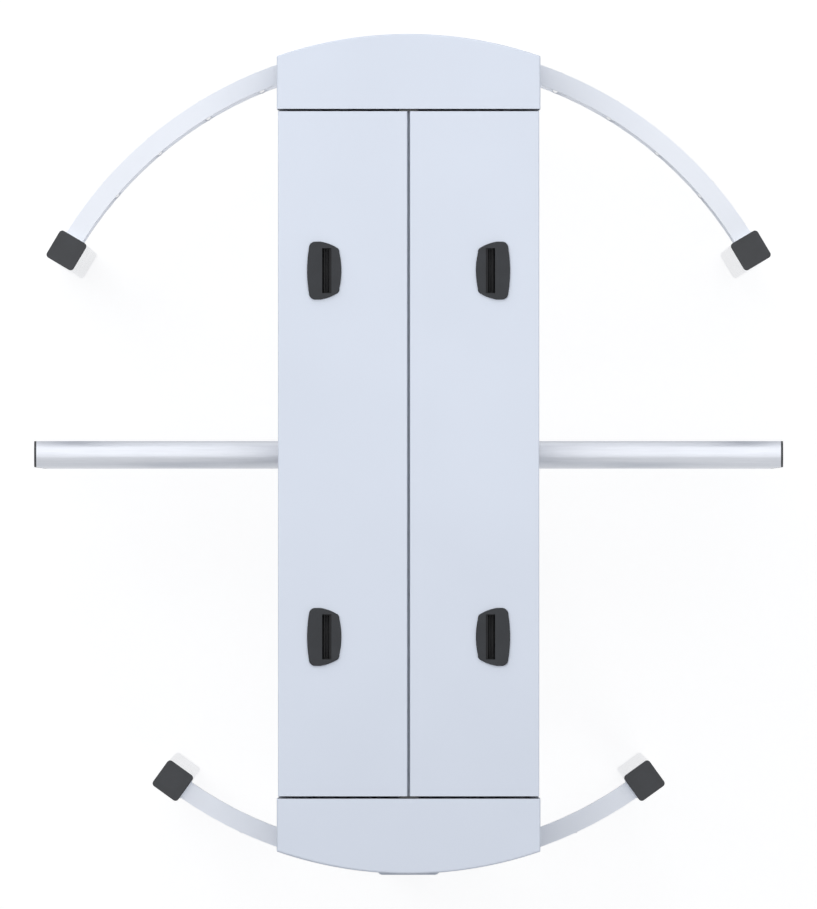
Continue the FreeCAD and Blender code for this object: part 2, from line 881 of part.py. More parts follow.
def door():
    half = door_half_length
    skin = box(door_inner, door_outer, -half, half, header_top - sheet, header_top)
    lip = box(door_outer - sheet, door_outer, -half, half, header_top - door_lip, header_top)
    hinge_lip = box(door_inner, hinge_x, -half, half, hinge_z, header_top)
    leaf = skin.fuse(lip).fuse(hinge_lip).removeSplitter()
    folds = [e for e in edges_at_height(leaf, header_top) if e.Length > half]
    leaf = leaf.makeFillet(door_fold_radius, folds)
    start = Vector(hinge_x, -half, hinge_z)
    roll = Part.makeCylinder(hinge_roll_radius, 2 * half, start, ALONG_Y)
    bore = Part.makeCylinder(hinge_pin_radius + running_clearance, 2 * half, start, ALONG_Y)
    leaf = leaf.fuse(roll).cut(bore)
    for hole in both_ends(latch_prism(0, header_top - sheet, header_top)):
        leaf = leaf.cut(hole)
    return leaf


# Rotor

def column():
    return ring(column_radius, column_radius - column_wall, column_bottom, column_top)


def column_discs():
    radius = column_radius - column_wall
    lower = cylinder(radius, column_bottom, column_bottom + disc_thickness)
    upper = cylinder(radius, column_top - disc_thickness, column_top)
    for x, y in shaft_bolt_places():
        upper = upper.cut(cylinder(bolt_radius, column_top - disc_thickness, column_top, x, y))
    return [lower, upper]


def circle_places(radius, count, first_degrees):
    places = []
    for step in range(count):
        angle = math.radians(first_degrees + 360.0 * step / count)
        places.append((radius * math.cos(angle), radius * math.sin(angle)))
    return places


def shaft_bolt_places():
    return circle_places(shaft_bolt_circle, 4, 45.0)


def wing_arms():
    """One wing's arms along +X, cut to sit on the round column."""
    inner_end = column_radius - column_wall
    outer_end = rotor_radius - plug_flange
    arms = []
    for height in arm_heights:
        start = Vector(inner_end, 0, height)
        outer = Part.makeCylinder(arm_radius, outer_end - inner_end, start, ALONG_X)
        bore = Part.makeCylinder(arm_radius - arm_wall, outer_end - inner_end, start, ALONG_X)
        saddle = cylinder(column_radius, height - 2 * arm_radius, height + 2 * arm_radius)
        arms.append(outer.cut(bore).cut(saddle))
    return arms


def wing_plugs():
    plugs = []
    for height in arm_heights:
        seat = rotor_radius - plug_flange
        flange = Part.makeCylinder(arm_radius, plug_flange, Vector(seat, 0, height), ALONG_X)
        rim = [e for e in flange.Edges if abs(e.BoundBox.XMin - rotor_radius) < 0.01]
        flange = flange.makeFillet(plug_edge, rim)
        spigot_start = Vector(seat - plug_spigot, 0, height)
        spigot = Part.makeCylinder(arm_radius - arm_wall, plug_spigot, spigot_start, ALONG_X)
        plugs.append(flange.fuse(spigot).removeSplitter())
    return plugs


def pivot_pin():
    low = base_plate + pivot_floor + thrust_flange + thrust_clearance
    flange = cylinder(pivot_flange_radius, column_bottom - pivot_flange, column_bottom)
    return cylinder(pivot_pin_radius, low, column_bottom).fuse(flange).removeSplitter()


def pivot_housing():
    body = cylinder(pivot_housing_radius, base_plate, pivot_housing_top)
    bore_radius = pivot_pin_radius + pivot_bush_wall
    return body.cut(cylinder(bore_radius, base_plate + pivot_floor, pivot_housing_top))


def pivot_bush():
    """A blind bush: its floor carries the rotor's weight."""
    floor = base_plate + pivot_floor
    bush = cylinder(pivot_pin_radius + pivot_bush_wall, floor, pivot_housing_top)
    bore_radius = pivot_pin_radius + running_clearance
    return bush.cut(cylinder(bore_radius, floor + thrust_flange, pivot_housing_top))


def floor_plate():
    plate = centred_box(floor_plate_half, floor_plate_half, 0, base_plate)
    place = floor_plate_half - base_hole_edge
    for hole in all_corners(cylinder(base_hole_radius, 0, base_plate, place, place)):
        plate = plate.cut(hole)
    return plate


def rotor_shaft():
    flange = cylinder(shaft_flange_radius, column_top, column_top + shaft_flange)
    for x, y in shaft_bolt_places():
        flange = flange.cut(cylinder(bolt_radius, column_top, column_top + shaft_flange, x, y))
    return flange.fuse(cylinder(shaft_radius, column_top, shaft_top)).removeSplitter()


def bearing_place():
    top = plate_bottom - bearing_lip
    return top - bearing_width, top


def bearing_housing():
    bottom = plate_bottom - bearing_housing_depth
    low, high = bearing_place()
    body = cylinder(bearing_housing_radius, bottom, plate_bottom)
    body = body.cut(cylinder(shaft_hole_radius, bottom, plate_bottom))
    body = body.cut(cylinder(bearing_outer_radius, bottom, high))
    for x, y in circle_places(bearing_bolt_circle, 4, 45.0):
        body = body.cut(cylinder(bolt_radius, bottom, plate_bottom, x, y))
    return body


def bearing_outer_ring():
    low, high = bearing_place()
    return ring(bearing_outer_radius, bearing_split_radius + bearing_split_gap / 2, low, high)


def bearing_inner_ring():
    low, high = bearing_place()
    return ring(bearing_split_radius - bearing_split_gap / 2, shaft_radius, low, high)


# Gears with involute teeth

def involute_point(base_radius, radius, offset, side):
    """A point of one flank: the involute's own turn is added to the offset on the chosen side."""
    roll = math.sqrt(max(radius ** 2 / base_radius ** 2 - 1.0, 0.0))
    turn = roll - math.atan(roll)
    angle = side * (offset - turn)
    return radius, angle


def gear_profile(teeth, height):
    pitch_radius = gear_module * teeth / 2
    base_radius = pitch_radius * math.cos(pressure_angle)
    tip = pitch_radius + gear_module
    root = pitch_radius - 1.25 * gear_module
    half_tooth = math.pi / 2 / teeth - tooth_thinning / 2 / pitch_radius
    offset = half_tooth + math.tan(pressure_angle) - pressure_angle
    start = max(root, base_radius)
    rise = (tip - start) / involute_steps
    radii = [start + rise * step for step in range(involute_steps + 1)]
    points = []
    for tooth in range(teeth):
        centre = 2 * math.pi * tooth / teeth
        flank = [involute_point(base_radius, radius, offset, 1) for radius in radii]
        if root < base_radius:
            flank.insert(0, (root, flank[0][1]))
        outline = [(r, -a) for r, a in flank] + [(r, a) for r, a in reversed(flank)]
        for radius, angle in outline:
            turn = centre + angle
            points.append(Vector(radius * math.cos(turn), radius * math.sin(turn), height))
    points.append(points[0])
    return Part.Face(Part.makePolygon(points))


def drive_gear():
    gear = gear_profile(gear_teeth, gear_base).extrude(Vector(0, 0, gear_face_width))
    gear = gear.cut(cylinder(shaft_radius, gear_base, gear_top))
    for x, y in circle_places(web_hole_circle, web_holes, 0.0):
        gear = gear.cut(cylinder(web_hole_radius, gear_base, gear_top, x, y))
    return gear


def drive_pinion():
    """The pinion and its shaft, turned from one piece, in mesh with the gear on the +X side."""
    low = gear_base - pinion_overhang
    high = gear_top + pinion_overhang
    pinion = gear_profile(pinion_teeth, low).extrude(Vector(0, 0, high - low))
    pinion = turned(pinion, 180.0 / pinion_teeth)
    shaft = cylinder(pinion_shaft_radius, plate_bottom - pinion_shaft_reach, high)
    return moved(pinion.fuse(shaft).removeSplitter(), Vector(centre_distance, 0, 0))


def lock_wheel():
    """The wheel's disc, and the spacer ring that holds the gear above it."""
    disc = ring(wheel_radius, shaft_radius, wheel_base, segment_base)
    spacer = ring(hub_radius, shaft_radius, segment_base, gear_base)
    return [disc, spacer]


def lock_segments():
    """Four arcs on the wheel. The gaps between them are the notches, one in each wing's direction."""
    arcs = ring(segment_outer, segment_inner, segment_base, segment_top)
    for degrees in (0, 90):
        bar = centred_box(segment_outer, notch_half_width, segment_base, segment_top)
        arcs = arcs.cut(turned(bar, degrees))
    return arcs.Solids


def index_disc():
    disc = cylinder(disc_radius, disc_base, disc_top)
    half = index_slot_width / 2
    slot = box(disc_radius - index_slot_depth, disc_radius, -half, half, disc_base, disc_top)
    for step in range(index_slots):
        disc = disc.cut(turned(slot, (step + 0.5) * 360.0 / index_slots))
    hub = cylinder(hub_radius, gear_top, disc_base)
    return disc.fuse(hub).removeSplitter().cut(cylinder(shaft_radius, gear_top, disc_top))


def shaft_nut():
    nut = hexagon(nut_radius, disc_top, nut_height)
    return nut.cut(cylinder(shaft_radius, disc_top, disc_top + nut_height))


# Drive and lock on the mechanism plate

def mechanism_plate():
    plate = centred_box(mechanism_plate_half_width, mechanism_plate_half_length,
                        plate_bottom, mechanism_plate_top)
    plate = plate.cut(cylinder(shaft_hole_radius, plate_bottom, mechanism_plate_top))
    plate = plate.cut(cylinder(plate_shaft_hole, plate_bottom, mechanism_plate_top, centre_distance, 0))
    for x, y in circle_places(bearing_bolt_circle, 4, 45.0):
        plate = plate.cut(cylinder(bolt_radius, plate_bottom, mechanism_plate_top, x, y))
    return plate


def gearbox():
    low = plate_bottom - gearbox_height
    body = centred_box(gearbox_half, gearbox_half, low, plate_bottom)
    body = body.makeFillet(gearbox_edge, upright_edges(body))
    body = moved(body, Vector(centre_distance, 0, 0))
    bore_radius = pinion_shaft_radius + running_clearance
    bore_bottom = plate_bottom - pinion_shaft_reach - thrust_clearance
    return body.cut(cylinder(bore_radius, bore_bottom, plate_bottom, centre_distance, 0))


def drive_motor():
    middle = plate_bottom - gearbox_height / 2
    start = Vector(centre_distance, gearbox_half, middle)
    barrel = Part.makeCylinder(motor_radius, motor_length, start, ALONG_Y)
    cap_start = Vector(centre_distance, gearbox_half + motor_length, middle)
    cap = Part.makeCylinder(motor_cap_radius, motor_cap_length, cap_start, ALONG_Y)
    return barrel.fuse(cap).removeSplitter()


def pawl():
    """South pawl at rest, clear of the wheel. It turns clockwise, seen from above, into a notch."""
    side = pawl_middle_y - pawl_arm_width / 2
    arm_end = pawl_tail_x + pawl_tail_end
    arm = box(-pawl_nose_half, arm_end, side, side + pawl_arm_width, pawl_base, pawl_top)
    boss = cylinder(pawl_boss_radius, pawl_base, pawl_top, pawl_pivot_x, -pawl_pivot_y)
    tip = -segment_outer - pawl_nose_gap
    nose = box(-pawl_nose_half, pawl_nose_half, pawl_middle_y, tip, pawl_base, pawl_top)
    body = arm.fuse(boss).fuse(nose).removeSplitter()
    bore_radius = pawl_pin_radius + running_clearance
    body = body.cut(cylinder(bore_radius, pawl_base, pawl_top, pawl_pivot_x, -pawl_pivot_y))
    slot = centred_box(tail_slot_half_length, tail_slot_half_width, pawl_base, pawl_top,
                       pawl_tail_x, pawl_middle_y)
    return body.cut(slot)


def pawl_pin():
    top = pawl_top + pawl_pin_top
    return cylinder(pawl_pin_radius, mechanism_plate_top, top, pawl_pivot_x, -pawl_pivot_y)


def plunger():
    """Solenoid plunger with the yoke and pin that work in the pawl's tail slot."""
    left, right = pawl_tail_x - yoke_half_width, pawl_tail_x + yoke_half_width
    back = pawl_middle_y - yoke_reach - yoke_block
    prong_top = pawl_base - yoke_clearance
    low = prong_top - yoke_thickness
    prong = box(left, right, back, pawl_middle_y + yoke_half_width, low, prong_top)
    block = box(left, right, back, back + yoke_block, low, pawl_top)
    pin = cylinder(link_pin_radius, low, pawl_top + yoke_clearance, pawl_tail_x, pawl_middle_y)
    start = Vector(pawl_tail_x, back - plunger_length, pawl_middle)
    rod = Part.makeCylinder(plunger_radius, plunger_length, start, ALONG_Y)
    return prong.fuse(block).fuse(pin).fuse(rod).removeSplitter()


def solenoid():
    front = pawl_middle_y - yoke_reach - yoke_block - solenoid_gap
    body = box(pawl_tail_x - solenoid_half, pawl_tail_x + solenoid_half, front - solenoid_length, front,
               mechanism_plate_top, pawl_middle + solenoid_half)
    depth = plunger_length - solenoid_gap + pawl_tail * pawl_swing + 2 * thrust_clearance
    start = Vector(pawl_tail_x, front - depth, pawl_middle)
    bore = Part.makeCylinder(plunger_radius + running_clearance, depth, start, ALONG_Y)
    return body.cut(bore)


def with_opposite(shape):
    """The same piece on the other side of the shaft."""
    return [shape, turned(shape, 180.0)]


def index_sensor():
    """A forked sensor whose two jaws stand over and under the index disc's rim."""
    half = sensor_post_half
    low_jaw_top = disc_base - sensor_gap
    high_jaw_bottom = disc_top + sensor_gap
    top = high_jaw_bottom + sensor_jaw
    post = box(sensor_post_x - half, sensor_post_x + half, -half, half, mechanism_plate_top, top)
    for low, high in ((low_jaw_top - sensor_jaw, low_jaw_top), (high_jaw_bottom, top)):
        post = post.fuse(box(sensor_post_x, sensor_jaw_end, -half, half, low, high))
    return post.removeSplitter()


def bay_trays():
    half_x = panel_inner - tray_gap
    inner = mechanism_plate_half_length + tray_gap
    outer = end_beam_offset - lower_tube / 2 + tray_seat
    top = lower_tube_top + tray_sheet
    tray = box(-half_x, half_x, inner, outer, lower_tube_top, top)
    tray = tray.cut(cylinder(gland_flange_radius, lower_tube_top, top, gland_x, gland_y))
    return both_ends(tray)


def bay_box(width, end_gap, height, y):
    low = lower_tube_top + tray_sheet
    body = centred_box(width / 2, bay_length / 2 - end_gap, low, low + height, 0, y)
    body = body.makeFillet(box_edge, upright_edges(body))
    return body.makeFillet(box_edge / 2, edges_at_height(body, low + height))


def cable_gland():
    """The entry for the mains and data cables, screwed into the pan above the north post."""
    low = header_bottom - gland_head
    high = pan_top + gland_collar
    sleeve = cylinder(gland_radius, header_bottom, high, gland_x, gland_y)
    head = cylinder(gland_flange_radius, low, header_bottom, gland_x, gland_y)
    gland = sleeve.fuse(head).removeSplitter()
    return gland.cut(cylinder(gland_bore, low, high, gland_x, gland_y))


def frame_bolts():
    """Bolts of one size: through the posts' head plates, and up through the bearing housing."""
    bolts = []
    for x, y in plan_bolt_places():
        bolts.append(bolt(x, y, pan_top, head_plate + panel_sheet))
    length = bearing_housing_depth + mechanism_plate_thickness
    for x, y in circle_places(bearing_bolt_circle, 4, 45.0):
        bolts.append(bolt(x, y, plate_bottom - bearing_housing_depth, length, head_up=False))
    return bolts


def shaft_bolts():
    seat = column_top + shaft_flange
    length = disc_thickness + shaft_flange
    return [bolt(x, y, seat, length) for x, y in shaft_bolt_places()]


# Nodes that stand still
save("main_posts", at_both_posts(main_post()))
save("post_plates", base_plates() + head_plates() + at_all_posts(corner_foot_plate()))
save("corner_posts", at_all_posts(corner_tube()))
save("corner_post_caps", at_all_posts(corner_cap()))
save("guard_top_rails", top_rails())
save("guard_flat_rails", flat_rails())
save("guard_bars", guard_bars())
save("barrier_fingers", barrier_fingers())
save("column_floor_plate", floor_plate())
save("pivot_housing", pivot_housing())
save("pivot_bush", pivot_bush())
save("header_pan", header_pan())
save("header_side_panels", side_panels())
save("lower_frame_tubes", lower_tubes())
save("upper_frame_tubes", upper_tubes())
save("centre_hinge_beam", centre_beam())
save("hinge_brackets", hinge_brackets())
save("pivot_pins", hinge_pins() + with_opposite(pawl_pin()))
save("door_seals", door_seals())
north_cover = end_cover()
save("north_end_cover", north_cover)
save("south_end_cover", mirrored_y(north_cover))
save("end_cover_screws", cover_screws())
save("frame_bolts", frame_bolts())
save("mechanism_plate", mechanism_plate())
save("bearing_housing", bearing_housing())
save("bearing_outer_ring", bearing_outer_ring())
save("gearbox", gearbox())
save("drive_motor", drive_motor())
save("lock_solenoids", with_opposite(solenoid()))
save("index_sensor", index_sensor())
save("bay_trays", bay_trays())
save("control_box", bay_box(control_width, control_end_gap, control_height, -bay_centre))
save("power_supply", bay_box(power_width, power_end_gap, power_height, bay_centre))
save("cable_gland", cable_gland())

# Nodes that turn with the rotor
save("rotor_column", column())
save("column_end_discs", column_discs())
save("pivot_pin", pivot_pin())
save("rotor_shaft", rotor_shaft())
save("shaft_flange_bolts", shaft_bolts())
save("bearing_inner_ring", bearing_inner_ring())
save("lock_wheel", lock_wheel())
save("lock_segments", lock_segments())
save("drive_gear", drive_gear())
save("index_disc", index_disc())
save("shaft_nut", shaft_nut())
arms = wing_arms()
plugs = wing_plugs()
all_arms = []
all_plugs = []
for wing in range(wing_count):
    all_arms += [turned(arm, wing * 360.0 / wing_count) for arm in arms]
    all_plugs += [turned(plug, wing * 360.0 / wing_count) for plug in plugs]
save("rotor_arms", all_arms)
save("arm_end_plugs", all_plugs)

# Nodes that move by themselves
save("drive_pinion", drive_pinion())
right_door = door()
save("right_door", right_door)
save("left_door", mirrored_x(right_door))
right_housings = both_ends(latch_housing())
save("right_latch_housings", right_housings)
save("left_latch_housings", [mirrored_x(housing) for housing in right_housings])
slider = latch_slider()
save("north_right_latch", slider)
save("south_right_latch", mirrored_y(slider))
save("north_left_latch", mirrored_x(slider))
save("south_left_latch", mirrored_x(mirrored_y(slider)))
south_pawl, north_pawl = with_opposite(pawl())
save("south_pawl", south_pawl)
save("north_pawl", north_pawl)
south_plunger, north_plunger = with_opposite(plunger())
save("south_plunger", south_plunger)
save("north_plunger", north_plunger)
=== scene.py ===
# %% [markdown]
# # A full height turnstile, dressed for its picture
# The turnstile stands on two posts. A rotor with four wings of steel tubes turns between
# curved side guards, under a long sheet metal header with two lids. This lesson takes the
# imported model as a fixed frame, gives each of its pieces a finish, adds the small pieces
# that only the eye needs, and sets up the light and the camera.

# %% Load the frame
import bmesh
import bpy
import json
import math
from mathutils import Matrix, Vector


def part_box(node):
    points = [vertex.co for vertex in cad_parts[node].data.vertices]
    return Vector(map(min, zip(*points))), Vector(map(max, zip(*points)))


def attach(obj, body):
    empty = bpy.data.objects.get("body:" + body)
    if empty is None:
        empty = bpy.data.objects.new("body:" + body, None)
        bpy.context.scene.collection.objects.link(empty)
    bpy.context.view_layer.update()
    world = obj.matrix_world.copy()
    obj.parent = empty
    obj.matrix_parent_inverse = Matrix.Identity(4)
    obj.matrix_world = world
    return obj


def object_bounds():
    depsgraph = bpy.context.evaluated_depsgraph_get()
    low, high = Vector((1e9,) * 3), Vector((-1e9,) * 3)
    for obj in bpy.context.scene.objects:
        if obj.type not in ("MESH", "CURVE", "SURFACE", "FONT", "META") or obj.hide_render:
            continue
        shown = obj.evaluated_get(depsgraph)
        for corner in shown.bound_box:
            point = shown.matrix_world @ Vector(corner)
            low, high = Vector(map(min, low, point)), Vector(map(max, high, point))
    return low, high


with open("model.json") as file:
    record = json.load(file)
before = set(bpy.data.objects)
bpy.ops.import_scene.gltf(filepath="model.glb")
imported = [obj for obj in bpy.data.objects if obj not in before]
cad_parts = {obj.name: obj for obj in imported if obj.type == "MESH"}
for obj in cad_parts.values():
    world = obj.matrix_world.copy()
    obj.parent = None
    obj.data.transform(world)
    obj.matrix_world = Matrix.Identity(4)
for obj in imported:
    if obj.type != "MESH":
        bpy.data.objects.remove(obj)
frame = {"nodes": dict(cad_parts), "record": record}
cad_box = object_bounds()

nodes = frame["nodes"]
print("box", [round(v, 4) for v in cad_box[0]], [round(v, 4) for v in cad_box[1]])

# %% [markdown]
# ## Colour and length
# Colours are easiest to note down as sRGB hex values, because that is how a paint chart or
# a screen shows them, but shaders count in linear light. One function turns one into the
# other. Lengths are metres in the scene, and a maker thinks in millimetres, so MM converts.

# %% Units
MM = 0.001


def colour(hex_value):
    """A hex colour such as C8CACD as a linear RGBA value."""
    channels = [int(hex_value[i:i + 2], 16) / 255 for i in (0, 2, 4)]
    lit = [c / 12.92 if c <= 0.04045 else ((c + 0.055) / 1.055) ** 2.4 for c in channels]
    return (*lit, 1.0)


def per_mm(size_mm):
    """The scale at which a noise has spots of about a real size."""
    return 1.0 / (size_mm * MM)


print("mid grey", [round(v, 3) for v in colour("808080")], "5 mm spots", per_mm(5.0))

# %% [markdown]
# ## One way to add a node
# A material is a small graph. Typing each node, its settings and its links over and over
# hides the idea, so one function does all three. An input that is given a socket gets a
# link, a node stands for its first output, and anything else is set as a value. The same
# filling serves the shader that every new material already has, so it is a step of its own.

# %% Node helper
def fill(tree, node, inputs):
    """Links or sets a node's inputs, by name or number."""
    for name, value in inputs.items():
        if isinstance(value, bpy.types.Node):
            value = value.outputs[0]
        if isinstance(value, bpy.types.NodeSocket):
            tree.links.new(value, node.inputs[name])
        else:
            node.inputs[name].default_value = value


def add(tree, kind, inputs=None, **settings):
    """Adds a node with its settings and its inputs."""
    node = tree.nodes.new(kind)
    for name, value in settings.items():
        setattr(node, name, value)
    fill(tree, node, inputs or {})
    return node


print("node kinds on hand", sum(name.startswith("ShaderNode") for name in dir(bpy.types)))

# %% [markdown]
# ## A finish is a shader and its skin
# A pattern is laid out in the piece's own coordinates, so it moves with the piece and has
# a real size. Most finishes use patterns for the same three things: one blends two shades,
# one moves the roughness up and down, and one lifts the surface a little. Each finish could
# say all that again, but then it would hide how alike they are, so one function lays the
# skin and a finish only says which patterns it has. A noise seldom leaves the middle half
# of its range, so the shades and the roughness take their full spread from there.

# %% Finish helpers
shade_span = (0.3, 0.7)
gloss_span = (0.25, 0.75)


def new_finish(name, hex_value, metallic, roughness, **others):
    """A material whose shader holds the plain values, and the piece's own place."""
    material = bpy.data.materials.new(name)
    material.use_nodes = True
    tree = material.node_tree
    shader = tree.nodes["Principled BSDF"]
    plain = {"Base Color": colour(hex_value), "Metallic": metallic, "Roughness": roughness}
    fill(tree, shader, plain | others)
    place = add(tree, "ShaderNodeTexCoord").outputs["Object"]
    return material, tree, shader, place


def skin(tree, shader, shade, shades, gloss, roughness, relief=None, height_mm=0.0):
    """Blends two shades, spreads the roughness and lifts the surface, each by a pattern."""
    blend = add(tree, "ShaderNodeValToRGB", {"Fac": shade})
    for stop, position, hex_value in zip(blend.color_ramp.elements, shade_span, shades):
        stop.position = position
        stop.color = colour(hex_value)
    spread = add(tree, "ShaderNodeMapRange", {
        "Value": gloss, "From Min": gloss_span[0], "From Max": gloss_span[1],
        "To Min": roughness[0], "To Max": roughness[1]})
    fill(tree, shader, {"Base Color": blend, "Roughness": spread})
    if relief is not None:
        bump = add(tree, "ShaderNodeBump", {
            "Height": relief, "Distance": height_mm * MM, "Strength": 1.0})
        fill(tree, shader, {"Normal": bump})


print("shades from", shade_span, "gloss from", gloss_span)

# %% [markdown]
# ## Powder coat
# The header, its lids and the main posts are mild steel sheet, sprayed with polyester
# powder and baked. The powder flows out in the oven but never quite flat: it keeps a faint
# orange peel, a satin gloss and a slightly uneven film. Real peel is 1 to 2 mm across,
# less than one dot of the picture, so it is drawn 5 mm wide and only some micrometres
# high. A wide, weak noise gives the uneven film.

# %% Powder coat finishes
film_mm = 260.0
peel_mm = 5.0
peel_height_mm = 0.02


def powder_coat(name, dark_hex, light_hex):
    material, tree, shader, place = new_finish(name, light_hex, 0.0, 0.42, IOR=1.5)
    film = add(tree, "ShaderNodeTexNoise", {
        "Vector": place, "Scale": per_mm(film_mm), "Detail": 2.0})
    peel = add(tree, "ShaderNodeTexNoise", {
        "Vector": place, "Scale": per_mm(peel_mm), "Detail": 1.0})
    skin(tree, shader, film, (dark_hex, light_hex), film, (0.38, 0.46), peel, peel_height_mm)
    return material


header_coat = powder_coat("powder_coat_header", "D7DEEA", "DBE2EE")
# The rails have the same powder coat as the header. Their lighter shades are painted light: the
# rails are drawn brighter than the header's coat under the same lamps.
rail_coat = powder_coat("powder_coat_rails_painted_light", "EFF3FA", "F4F7FD")
print("powder coats", header_coat.name, rail_coat.name)

# %% [markdown]
# ## The way of the grain
# The wings, the column, the corner posts, the guard bars and the comb are stainless tube,
# ground with a belt. The belt runs along the tube and leaves fine scratches in that
# direction. They could be drawn as a picture, but a noise that is stretched along the tube
# gives the same lines without a seam: long one way, narrow the other. Each piece has its
# own way of the grain. The wings lie along X and along Y, and there the larger of |x| and
# |y| is the way along.

# %% Grain direction
def grain_place(tree, place, way):
    """The piece's place with its first axis along the grain."""
    x, y, z = add(tree, "ShaderNodeSeparateXYZ", {"Vector": place}).outputs
    if way == "wings":
        size_x = add(tree, "ShaderNodeMath", {0: x}, operation="ABSOLUTE")
        size_y = add(tree, "ShaderNodeMath", {0: y}, operation="ABSOLUTE")
        along = add(tree, "ShaderNodeMath", {0: size_x, 1: size_y}, operation="MAXIMUM")
        across = add(tree, "ShaderNodeMath", {0: size_x, 1: size_y}, operation="MINIMUM")
        order = (along, across, z)
    else:
        order = {"y": (y, x, z), "z": (z, x, y)}[way]
    return add(tree, "ShaderNodeCombineXYZ", dict(enumerate(order)))


def scratches(tree, place, width_mm, length_mm):
    """A noise drawn out into lines along the first axis."""
    stretch = (per_mm(length_mm), per_mm(width_mm), per_mm(width_mm))
    drawn = add(tree, "ShaderNodeMapping", {"Vector": place, "Scale": stretch})
    return add(tree, "ShaderNodeTexNoise", {
        "Vector": drawn, "Scale": 1.0, "Detail": 3.0, "Roughness": 0.6})


print("grain ways: y, z and wings")

# %% [markdown]
# ## Brushed stainless steel
# Real scratches are some hundredths of a millimetre wide. They are drawn 0.9 mm wide, which
# is the finest that still shows. The wings and the comb have a dull, coarse grain. The
# uprights are ground finer, so they mirror the floor along their length. Hands and shoes
# leave wide duller places on both, so half of the gloss follows a wide noise.

# %% Brushed stainless finishes
scratch_width_mm = 0.9
scratch_length_mm = 70.0
hand_mark_mm = 90.0
gloss_swing = 0.05


def brushed_stainless(name, way, roughness, scratch_height_mm):
    material, tree, shader, place = new_finish(name, "C8CBD2", 1.0, roughness)
    lines = scratches(tree, grain_place(tree, place, way), scratch_width_mm, scratch_length_mm)
    hand_marks = add(tree, "ShaderNodeTexNoise", {
        "Vector": place, "Scale": per_mm(hand_mark_mm), "Detail": 2.0})
    both = add(tree, "ShaderNodeMath", {0: lines, 1: hand_marks}, operation="ADD")
    half = add(tree, "ShaderNodeMath", {0: both, 1: 0.5}, operation="MULTIPLY")
    skin(tree, shader, lines, ("C2C5CC", "CFD2D9"),
         half, (roughness - gloss_swing, roughness + gloss_swing), lines, scratch_height_mm)
    return material


stainless = {
    "z": brushed_stainless("fine_brushed_stainless_z", "z", 0.11, 0.001),
    "y": brushed_stainless("brushed_stainless_y", "y", 0.34, 0.004),
    "wings": brushed_stainless("brushed_stainless_wings", "wings", 0.36, 0.004),
}
print("stainless", sorted(stainless))

# %% [markdown]
# ## Moulded nylon, acetal, rubber and the enclosure
# The post caps, the tube plugs and the latch bodies are black nylon with glass fibre,
# moulded in a tool whose walls were spark eroded. That gives a dry, even grain and a dull
# sheen that turns the black into dark grey. The latches are blacker than the caps. Their
# slider is acetal, smoother because it has to slide. Its low sheen level and its darker
# shades are partly painted shade: they stand in for the shade that the slot's walls cast on
# it. The seals are foamed rubber, all small pores. The electronics sit in a light grey ABS
# box, moulded with a fine matt texture. Eroded grain is about 0.3 mm; it is drawn 1.2 mm
# wide to show close up.

# %% Plastics and rubber
flow_mm = 30.0
mould_gloss_swing = 0.06


def moulded(name, dark_hex, light_hex, roughness, grain_mm, grain_height_mm, sheen=0.5):
    material, tree, shader, place = new_finish(
        name, light_hex, 0.0, roughness, **{"IOR": 1.53, "Specular IOR Level": sheen})
    grain = add(tree, "ShaderNodeTexNoise", {
        "Vector": place, "Scale": per_mm(grain_mm), "Detail": 3.0})
    flow = add(tree, "ShaderNodeTexNoise", {
        "Vector": place, "Scale": per_mm(flow_mm), "Detail": 2.0})
    spread = (roughness - mould_gloss_swing, roughness + mould_gloss_swing)
    skin(tree, shader, flow, (dark_hex, light_hex), grain, spread, grain, grain_height_mm)
    return material


cap_nylon = moulded("moulded_black_nylon", "242629", "2A2C30", 0.58, 1.2, 0.03)
latch_nylon = moulded("moulded_black_nylon_latch", "16191E", "1D2025", 0.56, 1.2, 0.03, 0.4)
# The slider's low sheen and darker shades are partly painted shade for its slot.
slider_acetal_slot_shade = moulded("moulded_black_acetal_slot_shade", "141518", "1B1C1F", 0.4, 2.0, 0.01, 0.2)
seal_rubber = moulded("foamed_seal_rubber", "1A1A1B", "262627", 0.9, 0.8, 0.15)
grey_abs = moulded("moulded_grey_abs", "C3C7CA", "CBCFD1", 0.5, 1.2, 0.02)
print("plastics", cap_nylon.name, latch_nylon.name, slider_acetal_slot_shade.name, grey_abs.name)

# %% [markdown]
# ## Zinc plated steel
# The plates under and over the posts, the trays in the header and the column's end discs
# are zinc plated. The zinc grows as small crystals, so the surface is split into faint
# facets that differ in gloss and height. A noise has no such edges, and cells of a Voronoi
# pattern do. They are 3 mm wide. Each cell's random colour holds two numbers, one for its
# gloss and one for its height.

# %% Zinc plate
crystal_mm = 3.0
dulling_mm = 60.0
crystal_height_mm = 0.004


def zinc_plate(name):
    material, tree, shader, place = new_finish(name, "B4B8BB", 1.0, 0.4)
    cells = add(tree, "ShaderNodeTexVoronoi", {"Vector": place, "Scale": per_mm(crystal_mm)})
    facet = add(tree, "ShaderNodeSeparateColor", {"Color": cells.outputs["Color"]})
    dulling = add(tree, "ShaderNodeTexNoise", {
        "Vector": place, "Scale": per_mm(dulling_mm), "Detail": 4.0})
    skin(tree, shader, dulling, ("A9ADB0", "BCC0C3"),
         facet.outputs[0], (0.32, 0.5), facet.outputs[1], crystal_height_mm)
    return material


zinc = zinc_plate("zinc_plated_steel")
print("zinc", zinc.name)

# %% [markdown]
# ## Machined steel and bronze
# Shaft, pins, lock wheel, gears and bush are turned on a lathe. The tool leaves rings about
# the axis, so their pattern depends only on the distance from it and on the height. The
# drive pinion has an axis of its own, and that is read from the model. Tool marks are 0.1
# to 0.3 mm apart; they are drawn 0.8 mm wide so that they show.

# %% Turned finishes
tool_mark_mm = 0.8
tool_mark_height_mm = 0.01
finger_mark_mm = 25.0


